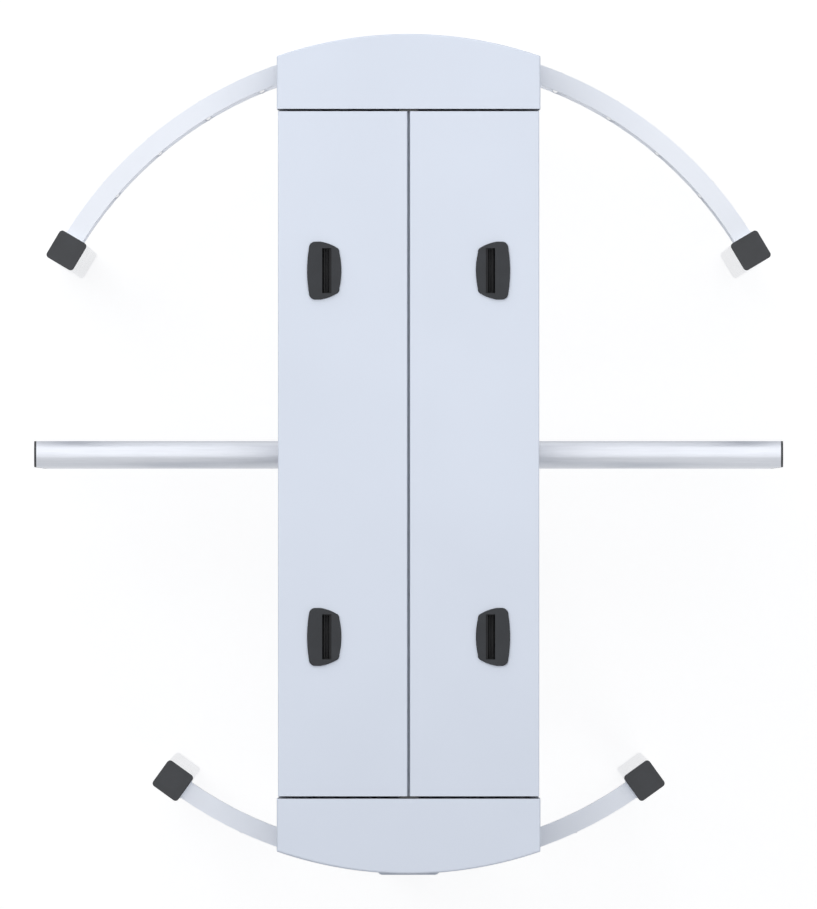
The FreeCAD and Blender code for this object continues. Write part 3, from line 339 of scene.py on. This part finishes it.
def turned_metal(name, dark_hex, hex_value, light_hex, axis_x):
    """A lathe finish with rings about an upright axis at x."""
    material, tree, shader, place = new_finish(name, hex_value, 1.0, 0.28)
    x, y, z = add(tree, "ShaderNodeSeparateXYZ", {"Vector": place}).outputs
    from_axis = add(tree, "ShaderNodeMath", {0: x, 1: axis_x}, operation="SUBTRACT")
    flat = add(tree, "ShaderNodeCombineXYZ", {0: from_axis, 1: y})
    radius = add(tree, "ShaderNodeVectorMath", {0: flat}, operation="LENGTH")
    ring_place = add(tree, "ShaderNodeCombineXYZ", {0: radius.outputs["Value"], 1: z})
    rings = add(tree, "ShaderNodeTexNoise", {
        "Vector": ring_place, "Scale": per_mm(tool_mark_mm), "Detail": 2.0})
    handled = add(tree, "ShaderNodeTexNoise", {
        "Vector": place, "Scale": per_mm(finger_mark_mm), "Detail": 4.0})
    skin(tree, shader, handled, (dark_hex, light_hex),
         rings, (0.2, 0.38), rings, tool_mark_height_mm)
    return material


pinion_low, pinion_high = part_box("drive_pinion")
pinion_x = (pinion_low.x + pinion_high.x) / 2
turned_steel = turned_metal("turned_steel", "AEAFB1", "B9BABC", "C2C3C5", 0.0)
pinion_steel = turned_metal("turned_steel_pinion", "AEAFB1", "B9BABC", "C2C3C5", pinion_x)
turned_bronze = turned_metal("turned_bronze", "AC8350", "B98D57", "C69A63", 0.0)
print("turned", turned_steel.name, turned_bronze.name, "pinion at", round(pinion_x / MM, 1), "mm")

# %% [markdown]
# ## Ground plate
# The thick plate that carries the mechanism is ground flat on a table that runs to and fro.
# So it gets straight lines like the tubes, drawn 1 mm wide and shorter, because the stone
# leaves the plate at each stroke. The coolant leaves wide faint stains, and a noise with
# much fine detail gives those their ragged edge.

# %% Ground steel
stain_mm = 70.0
grind_width_mm = 1.0
grind_length_mm = 45.0
grind_height_mm = 0.008


def ground_steel(name):
    material, tree, shader, place = new_finish(name, "B4B5B7", 1.0, 0.32)
    lines = scratches(tree, grain_place(tree, place, "y"), grind_width_mm, grind_length_mm)
    stains = add(tree, "ShaderNodeTexNoise", {
        "Vector": place, "Scale": per_mm(stain_mm), "Detail": 5.0})
    skin(tree, shader, stains, ("A9AAAC", "BDBEC0"), lines, (0.26, 0.42), lines, grind_height_mm)
    return material


ground = ground_steel("ground_steel_plate")
print("ground plate", ground.name)

# %% [markdown]
# ## Castings, enamel and primer
# The bearing housings are grey iron, cast in sand: the skin is grainy, and the primer on it
# is dull. The gearbox and the power supply's case are die cast aluminium, finer grained and
# bare. The motor and the solenoids have a baked black enamel with a soft gloss. The frame's
# tubes and the beam under the lids' seam have a matt grey primer, so the seams do not mirror
# the sky. The two hinge brackets at its ends have a dark phosphate skin whose darkness is
# painted shade, so the ends of the seams look as dark as shade in a narrow gap.
# All of these are one even grain over a cloudy shade, so one function makes them from the
# grain's size and height.

# %% Castings and coats
cloud_mm = 18.0
cast_gloss_swing = 0.08


def casting(name, dark_hex, light_hex, metallic, roughness, grain_mm, grain_height_mm):
    material, tree, shader, place = new_finish(name, light_hex, metallic, roughness)
    grain = add(tree, "ShaderNodeTexNoise", {
        "Vector": place, "Scale": per_mm(grain_mm), "Detail": 4.0})
    cloud = add(tree, "ShaderNodeTexNoise", {
        "Vector": place, "Scale": per_mm(cloud_mm), "Detail": 4.0})
    spread = (roughness - cast_gloss_swing, roughness + cast_gloss_swing)
    skin(tree, shader, cloud, (dark_hex, light_hex), grain, spread, grain, grain_height_mm)
    return material


cast_iron = casting("sand_cast_iron", "4A4D50", "585B5E", 0.0, 0.68, 1.6, 0.25)
cast_aluminium = casting("die_cast_aluminium", "A6A9AC", "B4B7BA", 1.0, 0.46, 1.1, 0.06)
motor_enamel = casting("baked_black_enamel", "26292C", "2D3033", 0.0, 0.34, 4.0, 0.02)
frame_primer = casting("matt_grey_primer", "AAB1BB", "B6BDC7", 0.0, 0.8, 2.2, 0.03)
# The brackets' dark shades are painted shade for the ends of the lids' seam.
phosphate_seam_shade = casting("dark_phosphate_skin", "3A3B3C", "48494A", 0.0, 0.7, 1.2, 0.02)
print("castings", cast_iron.name, cast_aluminium.name, motor_enamel.name, frame_primer.name)

# %% [markdown]
# ## Every CAD piece gets its finish
# The record names a material slot for each node. Most nodes take the finish of their slot.
# Where the grain or the way of making differs, the node is named by itself.

# %% Hand out the finishes
slot_finishes = {
    "powder_coat": header_coat,
    "rail_coat": rail_coat,
    "stainless": stainless["z"],
    "zinc_plate": zinc,
    "bright_steel": turned_steel,
    "cast_iron": cast_iron,
    "bronze": turned_bronze,
    "dark_plastic": cap_nylon,
    "slider_plastic": slider_acetal_slot_shade,
    "seal_rubber": seal_rubber,
    "cast_aluminium": cast_aluminium,
    "motor_paint": motor_enamel,
    "enclosure_plastic": grey_abs,
}
node_finishes = {
    "rotor_arms": stainless["wings"],
    "barrier_fingers": stainless["y"],
    "mechanism_plate": ground,
    "drive_pinion": pinion_steel,
    "right_latch_housings": latch_nylon,
    "left_latch_housings": latch_nylon,
    "centre_hinge_beam": frame_primer,
    "upper_frame_tubes": frame_primer,
    "lower_frame_tubes": frame_primer,
    "hinge_brackets": phosphate_seam_shade,
}
node_slots = {part["node"]: part["material_slot"] for part in frame["record"]["subparts"]}
for name, node in nodes.items():
    finish = node_finishes.get(name) or slot_finishes[node_slots[name]]
    for mesh_slot in node.material_slots:
        mesh_slot.material = finish
print("finished nodes", len(nodes))

# %% [markdown]
# ## Finding the solids of a node
# A node can hold many equal solids, such as forty tubes. A small piece belongs at the end
# of each, so its place is read from the mesh: faces that share corners form one solid, and
# the solid's box gives its middle, its ends and its radius. Typing the places again would
# let them drift away from the tubes.

# %% Solids of a node
same_corner = 0.01 * MM


def solids(name):
    """The lowest and highest corner of each solid in a node, in a fixed order."""
    work = bmesh.new()
    work.from_mesh(nodes[name].data)
    bmesh.ops.remove_doubles(work, verts=work.verts[:], dist=same_corner)
    found, met = [], set()
    for start in work.verts:
        if start in met:
            continue
        met.add(start)
        group = [start]
        for corner in group:
            for edge in corner.link_edges:
                other = edge.other_vert(corner)
                if other not in met:
                    met.add(other)
                    group.append(other)
        low = Vector(min(v.co[i] for v in group) for i in range(3))
        high = Vector(max(v.co[i] for v in group) for i in range(3))
        found.append((low, high))
    work.free()
    return sorted(found, key=lambda ends: tuple(ends[0]))


print("arms", len(solids("rotor_arms")), "bars", len(solids("guard_bars")))

# %% [markdown]
# ## From rings of corners to a piece
# Most small pieces here are a skin over rings of corners: a weld is a ring carried along a
# line, a strip is an outline carried straight, a screw head is rings of falling radius. So
# one function closes the skin over any rings. The other turns the finished shape into a
# piece: it rides on the body that carries it, and its mesh gets the finish in its one slot.

# %% Skins and pieces
def join_rings(work, rings, closed=False):
    """Makes a skin over rings of corners, with a lid on both ends unless they close up."""
    pairs = list(zip(rings, rings[1:]))
    if closed:
        pairs.append((rings[-1], rings[0]))
    else:
        work.faces.new(rings[0])
        work.faces.new(rings[-1])
    for first, second in pairs:
        for k, corner in enumerate(first):
            following = (k + 1) % len(first)
            work.faces.new((corner, first[following], second[following], second[k]))


def piece(work, name, finish, body, smooth=True):
    """Turns a bmesh into a piece that rides on a body and has a finish."""
    bmesh.ops.recalc_face_normals(work, faces=work.faces[:])
    for face in work.faces:
        face.smooth = smooth
    mesh = bpy.data.meshes.new(name)
    work.to_mesh(mesh)
    work.free()
    mesh.materials.append(finish)
    item = bpy.data.objects.new(name, mesh)
    bpy.context.collection.objects.link(item)
    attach(item, body)
    print(name, len(mesh.polygons), "faces on", body)


upright = Vector((0, 0, 1))
north = Vector((0, 1, 0))
east = Vector((1, 0, 0))
print("upright", tuple(upright), "north", tuple(north), "east", tuple(east))

# %% [markdown]
# ## Weld beads
# Every tube is welded all round where it meets another. A weld is a row of small pools of
# metal, each set on the last, so it looks like a roll of coins laid over. It could be a
# bump in the material, but it also changes the outline, so here it is real: a ring of six
# corners is carried along the joint's line, and every second ring is a little thinner. An
# open bead tapers at its two ends. The ripples are 4 mm apart; real ones are half that.

# %% Weld bead
ripple_mm = 4.0
bead_sides = 6
bead_waist = 0.78
bead_tip = 0.5


def bead(work, path, axis, radius_mm, closed=True):
    """Carries a rippled ring of corners along a path; axis is never along the path."""
    rings = []
    last = len(path) - 1
    for i, place in enumerate(path):
        ahead = path[(i + 1) % (last + 1)] if closed else path[min(i + 1, last)]
        behind = path[i - 1] if closed else path[max(i - 1, 0)]
        along = (ahead - behind).normalized()
        side = axis.cross(along).normalized()
        rise = along.cross(side)
        size = radius_mm * MM * (1.0 if i % 2 else bead_waist)
        if not closed and i in (0, last):
            size *= bead_tip
        turns = [2 * math.pi * k / bead_sides for k in range(bead_sides)]
        rings.append([work.verts.new(place + size * (side * math.cos(t) + rise * math.sin(t)))
                      for t in turns])
    join_rings(work, rings, closed)


print("ripples", ripple_mm, "mm apart, waist", bead_waist)

# %% [markdown]
# ## The line of a joint
# The line that a weld follows is simple geometry. A tube on a flat face leaves a circle, a
# post on its plate a rectangle, and an arm on the round column a saddle, which is a circle
# bent back by the column's curve. Two functions lay out places half a ripple apart, one
# round a circle and one along straight runs.

# %% Joint lines
def circle(centre, radius, axis):
    """Places half a ripple apart on a circle about an axis."""
    count = 2 * round(math.pi * radius / (ripple_mm * MM))
    side = axis.orthogonal().normalized()
    other = axis.cross(side)
    turns = [2 * math.pi * i / count for i in range(count)]
    return [centre + radius * (side * math.cos(t) + other * math.sin(t)) for t in turns]


def straight(corners):
    """Places half a ripple apart along straight runs from corner to corner."""
    path = []
    for start, end in zip(corners, corners[1:]):
        count = max(1, round((end - start).length / (ripple_mm * MM / 2)))
        path += [start.lerp(end, i / count) for i in range(count)]
    return path + [corners[-1]]


sample = circle(Vector((0, 0, 0)), 20 * MM, upright)
print("a circle of 20 mm radius takes", len(sample), "places")

# %% [markdown]
# ## Weld metal
# A weld on stainless steel is left a little darker than the tube. The heat grows a thin
# oxide skin on it, straw yellow next to the bead and grey on its top, which brushing never
# quite takes off. The finish blends those two by a noise of 7 mm. The welds of the zinc
# plated feet are sprayed with zinc paint afterwards, which is duller.

# %% Weld finish
oxide_mm = 7.0
brush_mm = 2.5


def weld_metal(name, dark_hex, light_hex, roughness):
    material, tree, shader, place = new_finish(name, light_hex, 1.0, roughness)
    oxide = add(tree, "ShaderNodeTexNoise", {
        "Vector": place, "Scale": per_mm(oxide_mm), "Detail": 3.0})
    brushed = add(tree, "ShaderNodeTexNoise", {
        "Vector": place, "Scale": per_mm(brush_mm), "Detail": 2.0})
    spread = (roughness - 0.08, roughness + 0.1)
    skin(tree, shader, oxide, (dark_hex, light_hex), brushed, spread)
    return material


stainless_weld = weld_metal("brushed_weld_bead", "B4AFA5", "C4C4C2", 0.36)
zinc_weld = weld_metal("zinc_sprayed_weld_bead", "9A9DA0", "A8ABAE", 0.55)
print("welds", stainless_weld.name, zinc_weld.name)

# %% [markdown]
# ## Arms on the column
# Forty arms are welded to the column. Every push on a wing ends in these beads, so they are
# heavy and go all the way round. A flat ring would stand off the round column at its sides.
# So each arm's circle is laid round the arm's axis first, and each place on it is then moved
# out to the column's skin, which gives the saddle.

# %% Arm welds
column_low, column_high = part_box("rotor_column")
column_radius = (column_high.x - column_low.x) / 2
arm_bead_mm = 2.6
work = bmesh.new()
for low, high in solids("rotor_arms"):
    middle = (low + high) / 2
    radius = (high.z - low.z) / 2
    out = Vector((middle.x, middle.y, 0)).normalized()
    aside = upright.cross(out)
    saddle = []
    for place in circle(Vector((0, 0, middle.z)), radius, out):
        offset = place.dot(aside)
        saddle.append(place + out * math.sqrt(column_radius ** 2 - offset ** 2))
    bead(work, saddle, out, arm_bead_mm)
piece(work, "rotor_arm_welds", stainless_weld, "rotor")

# %% [markdown]
# ## Guard bars and comb
# The guards' thin round bars stand between the rails, so they get a small bead at both
# ends, sprayed over together with the rails. The fingers of the comb are nearly as thick as
# the arms and are welded to the flat face of the north main post at one end only. Both
# joints are plain circles, read from the ends of each solid.

# %% Bar and comb welds
bar_bead_mm = 1.3
work = bmesh.new()
for low, high in solids("guard_bars"):
    centre = (low + high) / 2
    radius = (high.x - low.x) / 2
    for height in (low.z, high.z):
        foot = Vector((centre.x, centre.y, height))
        bead(work, circle(foot, radius, upright), upright, bar_bead_mm)
# These beads share the rails' coat, whose lighter shades are painted light.
piece(work, "guard_bar_welds", rail_coat, "frame")

work = bmesh.new()
for low, high in solids("barrier_fingers"):
    radius = (high.z - low.z) / 2
    root = Vector(((low.x + high.x) / 2, high.y, (low.z + high.z) / 2))
    bead(work, circle(root, radius, north), north, arm_bead_mm)
piece(work, "barrier_finger_welds", stainless_weld, "frame")

# %% [markdown]
# ## Feet of the main posts
# The foot plate of a main post ends where the turnstile ends, about in line with the
# post's outer face, so a bead on that side would stick out. A welder runs along the three
# other sides and stops short of the outer edge, and so does this path: in from one outer
# corner, along the inner face and back out. It is an open bead, thinner at its two ends.

# %% Post foot welds
plate_bead_mm = 3.2
work = bmesh.new()
for low, high in solids("main_posts"):
    outer, inner = (low.y, high.y) if low.y < 0 else (high.y, low.y)
    outer += math.copysign(plate_bead_mm * MM, inner - outer)
    corners = [Vector((x, y, low.z)) for x, y in
               ((low.x, outer), (low.x, inner), (high.x, inner), (high.x, outer))]
    bead(work, straight(corners), upright, plate_bead_mm, closed=False)
piece(work, "post_foot_welds", zinc_weld, "frame")

# %% [markdown]
# ## Guard rails on their posts
# The guard rails are welded to the posts along the edge of their end faces. An end of a rail
# is a flat upright face as wide and as high as the rail. Joining the flat neighbours of the
# mesh first makes it one face with four corners, which the weld goes round. These welds
# were made before the rails were sprayed, so they have the rails' powder coat.

# %% Rail end welds
rail_width_mm = 30.0
rail_bead_mm = 1.8
flat_degrees = 0.4
upright_slack = 0.1
area_slack = 0.03


def rail_ends(name, area):
    """The four corners of each upright face of a given area."""
    work = bmesh.new()
    work.from_mesh(nodes[name].data)
    bmesh.ops.remove_doubles(work, verts=work.verts[:], dist=same_corner)
    bmesh.ops.dissolve_limit(work, angle_limit=math.radians(flat_degrees),
                             verts=work.verts[:], edges=work.edges[:])
    found = [[corner.co.copy() for corner in face.verts] for face in work.faces
             if len(face.verts) == 4 and abs(face.normal.z) < upright_slack
             and abs(face.calc_area() / area - 1) < area_slack]
    work.free()
    return found


work = bmesh.new()
for name in ("guard_top_rails", "guard_flat_rails"):
    low, high = solids(name)[0]
    ends = rail_ends(name, rail_width_mm * MM * (high.z - low.z))
    print(name, "ends", len(ends))
    for corners in ends:
        facing = (corners[1] - corners[0]).cross(corners[2] - corners[1]).normalized()
        bead(work, straight(corners + corners[:1])[:-1], facing, rail_bead_mm)
# These beads share the rails' coat, whose lighter shades are painted light.
piece(work, "guard_rail_welds", rail_coat, "frame")

# %% [markdown]
# ## Strips and turned parts
# The small pieces that are left are of two kinds. A pressed or moulded strip has the same
# outline all along, so an outline in millimetres is carried straight from one end to the
# other. A screw head is round, so its outline is turned about its axis. Both are rings of
# corners with a skin over them, like the welds. A real screw has a hexagon socket, and a
# round one looks the same at this size.

# %% Strip and screw helpers
def carried(work, outline, middle, along, half_mm, across, rise):
    """Carries an outline, in millimetres across and up, to both sides of its middle."""
    reach = along * half_mm * MM
    join_rings(work, [[work.verts.new(place + (u * across + v * rise) * MM) for u, v in outline]
                      for place in (middle - reach, middle + reach)])


def turned(work, place, axis, outline, sides=18):
    """Turns an outline of (radius, height) in millimetres about an axis."""
    side = axis.orthogonal().normalized()
    other = axis.cross(side)
    turns = [2 * math.pi * k / sides for k in range(sides)]
    join_rings(work, [[work.verts.new(place + MM * (height * axis + radius * math.cos(t) * side
                                                    + radius * math.sin(t) * other))
                       for t in turns] for radius, height in outline])


screw_shape = [(1.0, 0.0), (1.0, 0.3), (0.86, 0.42), (0.46, 0.42), (0.42, 0.12)]


def screw(work, place, radius_mm):
    """A flat round head with a socket, its axis upright."""
    turned(work, place, upright, [(r * radius_mm, h * radius_mm) for r, h in screw_shape])


print("a screw head has", len(screw_shape), "rings")

# %% [markdown]
# ## Grips in the latch slots
# A lid is unlocked by pushing a slider with a finger tip through the slot of its latch. The
# moulded floor of the slot has fine ribs across the push, so that the finger holds, and the
# photo shows them as faint lines along the slot. Each rib has a round back and rides on its
# own slider. Real ribs are some tenths of a millimetre high, and so are these.

# %% Slider grips
slot_depth_mm = 15.0
first_grip_mm = 13.4
grip_pitch_mm = 2.5
grip_count = 3
grip_half_mm = 34.0
grip_outline = [(-0.6, 0.0), (-0.5, 0.45), (-0.2, 0.7), (0.2, 0.7), (0.5, 0.45), (0.6, 0.0)]
for row in ("north", "south"):
    for side in ("right", "left"):
        low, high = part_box(f"{row}_{side}_latch")
        seam_face, out = (low.x, 1) if side == "right" else (high.x, -1)
        work = bmesh.new()
        for k in range(grip_count):
            x = seam_face + out * (first_grip_mm + k * grip_pitch_mm) * MM
            middle = Vector((x, (low.y + high.y) / 2, high.z - slot_depth_mm * MM))
            carried(work, grip_outline, middle, north, grip_half_mm, east, upright)
        piece(work, f"{row}_{side}_slider_grips", slider_acetal_slot_shade, f"{row}_{side}_slider")

# %% [markdown]
# ## Stiffeners under the lids
# A lid of bare sheet would drum and sag, so a pressed hat section is spot welded along its
# underside. It only shows when a lid is up. The section is 1.5 mm sheet with its folds
# rounded, and each spot weld is a shallow ring where the electrode pressed.

# %% Lid stiffeners
lid_sheet_mm = 2.0
hat_x_mm = 75.0
hat_half_mm = 500.0
hat_sheet_mm = 1.5
spot_x_mm = 20.5
spot_pitch_mm = 62.0
spot_sides = 12
hat_outline = [(-26, 0), (-26, -1.5), (-15, -1.5), (-14, -2.2), (-10.5, -12.4), (-9, -13.5),
               (9, -13.5), (10.5, -12.4), (14, -2.2), (15, -1.5), (26, -1.5), (26, 0),
               (13.6, 0), (12.4, -1.0), (9.2, -11.2), (8.2, -12.0),
               (-8.2, -12.0), (-9.2, -11.2), (-12.4, -1.0), (-13.6, 0)]
spot_outline = [(2.8, 0), (2.4, 0.25), (1.7, 0.25), (1.3, 0.05)]
lid_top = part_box("south_end_cover")[1].z
spot_count = int(2 * hat_half_mm / spot_pitch_mm)
for side, out in (("right", 1), ("left", -1)):
    work = bmesh.new()
    middle = Vector((out * hat_x_mm * MM, 0, lid_top - lid_sheet_mm * MM))
    carried(work, hat_outline, middle, north, hat_half_mm, east, upright)
    for k in range(spot_count):
        y_mm = (k - (spot_count - 1) / 2) * spot_pitch_mm
        for x_mm in (-spot_x_mm, spot_x_mm):
            spot = middle + Vector((x_mm, y_mm, -hat_sheet_mm)) * MM
            turned(work, spot, -upright, spot_outline, spot_sides)
    piece(work, f"{side}_lid_stiffener", header_coat, f"{side}_lid", smooth=False)

# %% [markdown]
# ## The control box's lid
# With a lid of the header up, the boxes in the bays come into view. The control box is
# closed by a moulded lid with a sunk field. It could be a box with its edges bevelled, but
# the corners seen from above have radii of their own at each step, so it is made of rounded
# outlines that are stacked, the last one sunk. It stands on a top read from the model.

# %% Control box lid
def rounded_outline(half_x, half_y, corner, steps=5):
    """Points, in millimetres, of a rectangle with round corners."""
    outline = []
    for quarter, (side_x, side_y) in enumerate(((1, 1), (-1, 1), (-1, -1), (1, -1))):
        for k in range(steps + 1):
            angle = math.radians(90 * (quarter + k / steps))
            outline.append((side_x * (half_x - corner) + corner * math.cos(angle),
                            side_y * (half_y - corner) + corner * math.sin(angle)))
    return outline


def top_of(name):
    low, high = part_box(name)
    return Vector(((low.x + high.x) / 2, (low.y + high.y) / 2, high.z))


box_top = top_of("control_box")
lid_steps = [(98, 108, 6, 0), (98, 108, 6, 2.1), (97.2, 107.2, 5.4, 2.8), (88.6, 98.6, 4, 2.8),
             (88, 98, 3.6, 2.0)]
work = bmesh.new()
join_rings(work, [[work.verts.new(box_top + Vector((x, y, height)) * MM)
                   for x, y in rounded_outline(half_x, half_y, corner)]
                  for half_x, half_y, corner, height in lid_steps])
piece(work, "control_box_lid", grey_abs, "frame", smooth=False)

# %% [markdown]
# ## The power supply's louvres
# The top of the power supply is a cover of zinc plated sheet with louvres. A louvre is a
# slit whose one lip is pressed up to let warm air out, which from above is a row of long
# low humps. Cutting the slits would change the case for something that no one sees into, so
# each hump is only laid on: one outline carried across, steep on the side of the slit.

# %% Louvres
louvre_rows = 11
louvre_pitch_mm = 13
first_louvre_mm = -52
louvre_x_mm = 24
louvre_half_mm = 18
louvre_outline = [(-3.2, 0), (-2.6, 0.9), (-1.2, 1.7), (0.6, 2.0), (1.4, 1.8), (1.4, 0)]
supply_top = top_of("power_supply")
work = bmesh.new()
for k in range(louvre_rows):
    for x_mm in (-louvre_x_mm, louvre_x_mm):
        y_mm = first_louvre_mm + k * louvre_pitch_mm
        middle = supply_top + Vector((x_mm, y_mm, 0)) * MM
        carried(work, louvre_outline, middle, east, louvre_half_mm, north, upright)
piece(work, "power_supply_louvres", zinc, "frame")

# %% [markdown]
# ## Terminals and small screws
# At the end towards the rotor the power supply has a low strip of black nylon with one
# screw for each wire. The control box's lid is held by a screw in each corner, and each
# solenoid by two. All heads are the same turned shape, so they form one piece.

# %% Terminal strip and screws
strip_y_mm = -84
strip_half_mm = 46
strip_height_mm = 2.6
strip_outline = [(-7, 0), (-7, 2.0), (-6.4, strip_height_mm), (6.4, strip_height_mm), (7, 2.0),
                 (7, 0)]
strip_middle = supply_top + Vector((0, strip_y_mm, 0)) * MM
work = bmesh.new()
carried(work, strip_outline, strip_middle, east, strip_half_mm, north, upright)
piece(work, "terminal_strip", cap_nylon, "frame", smooth=False)

terminals = 7
terminal_pitch_mm = 12
terminal_screw_mm = 2.4
lid_screw_mm = 2.6
lid_screw_x_mm, lid_screw_y_mm, lid_rim_mm = 92.8, 102.8, 2.8
solenoid_inset_mm = 8
work = bmesh.new()
for k in range(terminals):
    x_mm = terminal_pitch_mm * (k - (terminals - 1) // 2)
    screw(work, strip_middle + Vector((x_mm, 0, strip_height_mm)) * MM, terminal_screw_mm)
for x_mm in (-lid_screw_x_mm, lid_screw_x_mm):
    for y_mm in (-lid_screw_y_mm, lid_screw_y_mm):
        screw(work, box_top + Vector((x_mm, y_mm, lid_rim_mm)) * MM, lid_screw_mm)
for low, high in solids("lock_solenoids"):
    for y in (low.y + solenoid_inset_mm * MM, high.y - solenoid_inset_mm * MM):
        screw(work, Vector(((low.x + high.x) / 2, y, high.z)), lid_screw_mm)
piece(work, "small_screws", zinc, "frame")

# %% [markdown]
# ## Floor
# A product picture has a white ground. The floor shows white to the camera and to what
# mirrors it, because part of it glows there, and the rest is plain paint that still keeps
# the turnstile's shadow. Light that bounces off it comes from the paint alone, so the
# white ground adds no light to the object. Brighter lamps would also make the floor white,
# but they would bleach the turnstile with it.

# %% Floor
def seen_or_mirrored(tree):
    """1 for a ray from the camera, a mirror or glass, and 0 for one that carries light."""
    path = add(tree, "ShaderNodeLightPath").outputs
    either = add(tree, "ShaderNodeMath", {0: path["Is Camera Ray"], 1: path["Is Glossy Ray"]},
                 operation="MAXIMUM")
    return add(tree, "ShaderNodeMath", {0: either, 1: path["Is Transmission Ray"]},
               operation="MAXIMUM")


floor_glow = 0.8
floor_half = 40.0
floor_finish = bpy.data.materials.new("matt_white_floor_paint")
floor_finish.use_nodes = True
floor_tree = floor_finish.node_tree
floor_tree.nodes.clear()
paint = add(floor_tree, "ShaderNodeBsdfDiffuse", {"Color": colour("D0D0D0")})
glow = add(floor_tree, "ShaderNodeEmission", {
    "Color": colour("FFFFFF"), "Strength": floor_glow})
lit_paint = add(floor_tree, "ShaderNodeBsdfDiffuse", {"Color": colour("A0A0A0")})
bright = add(floor_tree, "ShaderNodeAddShader", {0: lit_paint, 1: glow})
chosen = add(floor_tree, "ShaderNodeMixShader", {
    "Fac": seen_or_mirrored(floor_tree), 1: paint, 2: bright})
add(floor_tree, "ShaderNodeOutputMaterial", {"Surface": chosen})

floor_mesh = bpy.data.meshes.new("floor")
floor_corners = [(-floor_half, -floor_half, 0), (floor_half, -floor_half, 0),
                 (floor_half, floor_half, 0), (-floor_half, floor_half, 0)]
floor_mesh.from_pydata(floor_corners, [], [(0, 1, 2, 3)])
floor_mesh.materials.append(floor_finish)
floor = bpy.data.objects.new("floor", floor_mesh)
bpy.context.collection.objects.link(floor)
print("floor", 2 * floor_half, "m wide")

# %% [markdown]
# ## World
# The world is the white room round the turnstile. As light it is weak and a little blue,
# like a room with pale walls, so that the lamps shape the object. To the camera and to what
# mirrors it, it is plain white, by the same switch as the floor.

# %% World
world_light = 0.27
white = 1.0
world = bpy.data.worlds.new("white_studio")
bpy.context.scene.world = world
world.use_nodes = True
world_tree = world.node_tree
world_tree.nodes.clear()
room = add(world_tree, "ShaderNodeBackground", {
    "Color": colour("F4F7FF"), "Strength": world_light})
backdrop = add(world_tree, "ShaderNodeBackground", {
    "Color": colour("FFFFFF"), "Strength": white})
sky = add(world_tree, "ShaderNodeMixShader", {
    "Fac": seen_or_mirrored(world_tree), 1: room, 2: backdrop})
add(world_tree, "ShaderNodeOutputWorld", {"Surface": sky})
print("world light", world_light)

# %% [markdown]
# ## Soft boxes
# The photo is lit from above with large soft light, a little stronger towards the top of
# the picture: the header darkens slowly from there, and each tube is bright from its middle
# to its upper edge. A very wide soft box over that end gives the tubes their broad bright
# band, and a low one beyond that end carries the band on to their upper edge. A small one
# close above the header makes the slow fall of light along it, and stays out of the mirror
# images, where it would be a hot spot. Two weaker ones at the sides keep the posts and
# guards readable when the turnstile is seen from elsewhere.

# %% Lamps
object_middle = (cad_box[0] + cad_box[1]) / 2


def soft_box(name, place, size, power):
    """A square lamp of some metres that faces the object's middle and stays out of view."""
    lamp = bpy.data.lights.new(name, "AREA")
    lamp.shape = "SQUARE"
    lamp.size = size
    lamp.energy = power
    box = bpy.data.objects.new(name, lamp)
    box.location = place
    box.rotation_euler = (object_middle - Vector(place)).to_track_quat("-Z", "Y").to_euler()
    box.visible_camera = False
    bpy.context.collection.objects.link(box)
    return box


soft_box("wide_soft_box", (-0.2, 2.6, 6.8), 12.0, 270.0)
soft_box("low_soft_box", (0.0, 4.2, 1.9), 3.5, 20.0)
soft_box("front_soft_box", (5.0, -6.0, 3.2), 5.0, 110.0)
soft_box("back_soft_box", (-5.0, 5.0, 3.2), 5.0, 110.0)
near_soft_box = soft_box("near_soft_box", (-0.18, 0.5, 4.4), 2.0, 17.5)
near_soft_box.visible_glossy = False
print("lamps", len(bpy.data.lights))

# %% [markdown]
# ## The camera
# The photo looks straight down, with so little perspective that the floor lies almost
# under the header. A long lens from far away gives that. The picture is 1.6 mm to the dot
# at the header's top, and a slight tilt shows a sliver of the south faces, as the photo
# does under each cap.

# %% Camera
image_height_px = 909
mm_per_px = 1.6
lens_mm = 1500.0
sensor_mm = 36.0
picture_height = image_height_px * mm_per_px * MM
distance = picture_height / (sensor_mm / lens_mm)
aim = Vector((-0.0002, -0.0012, cad_box[1].z - 0.004))
south_step = 0.101
clip_near = 1.0

camera_data = bpy.data.cameras.new("camera")
camera_data.lens = lens_mm
camera_data.sensor_width = sensor_mm
camera_data.clip_start = clip_near
camera_data.clip_end = 2.0 * distance
camera = bpy.data.objects.new("camera", camera_data)
camera.location = aim + Vector((0, -south_step, distance))
camera.rotation_euler = (math.atan(south_step / distance), 0, 0)
bpy.context.collection.objects.link(camera)
bpy.context.scene.camera = camera
print("camera", round(distance, 2), "m above the header")

# %% [markdown]
# ## The view transform
# Blender's usual view transform rolls off bright light, as film does, and that greys a
# white ground. The Standard transform leaves colours as they are worked out, so a coat that
# is written down as a light blue grey is also rendered as one.

# %% Light level
bpy.context.scene.view_settings.view_transform = "Standard"
print("view transform", bpy.context.scene.view_settings.view_transform)

# %% [markdown] ## The end
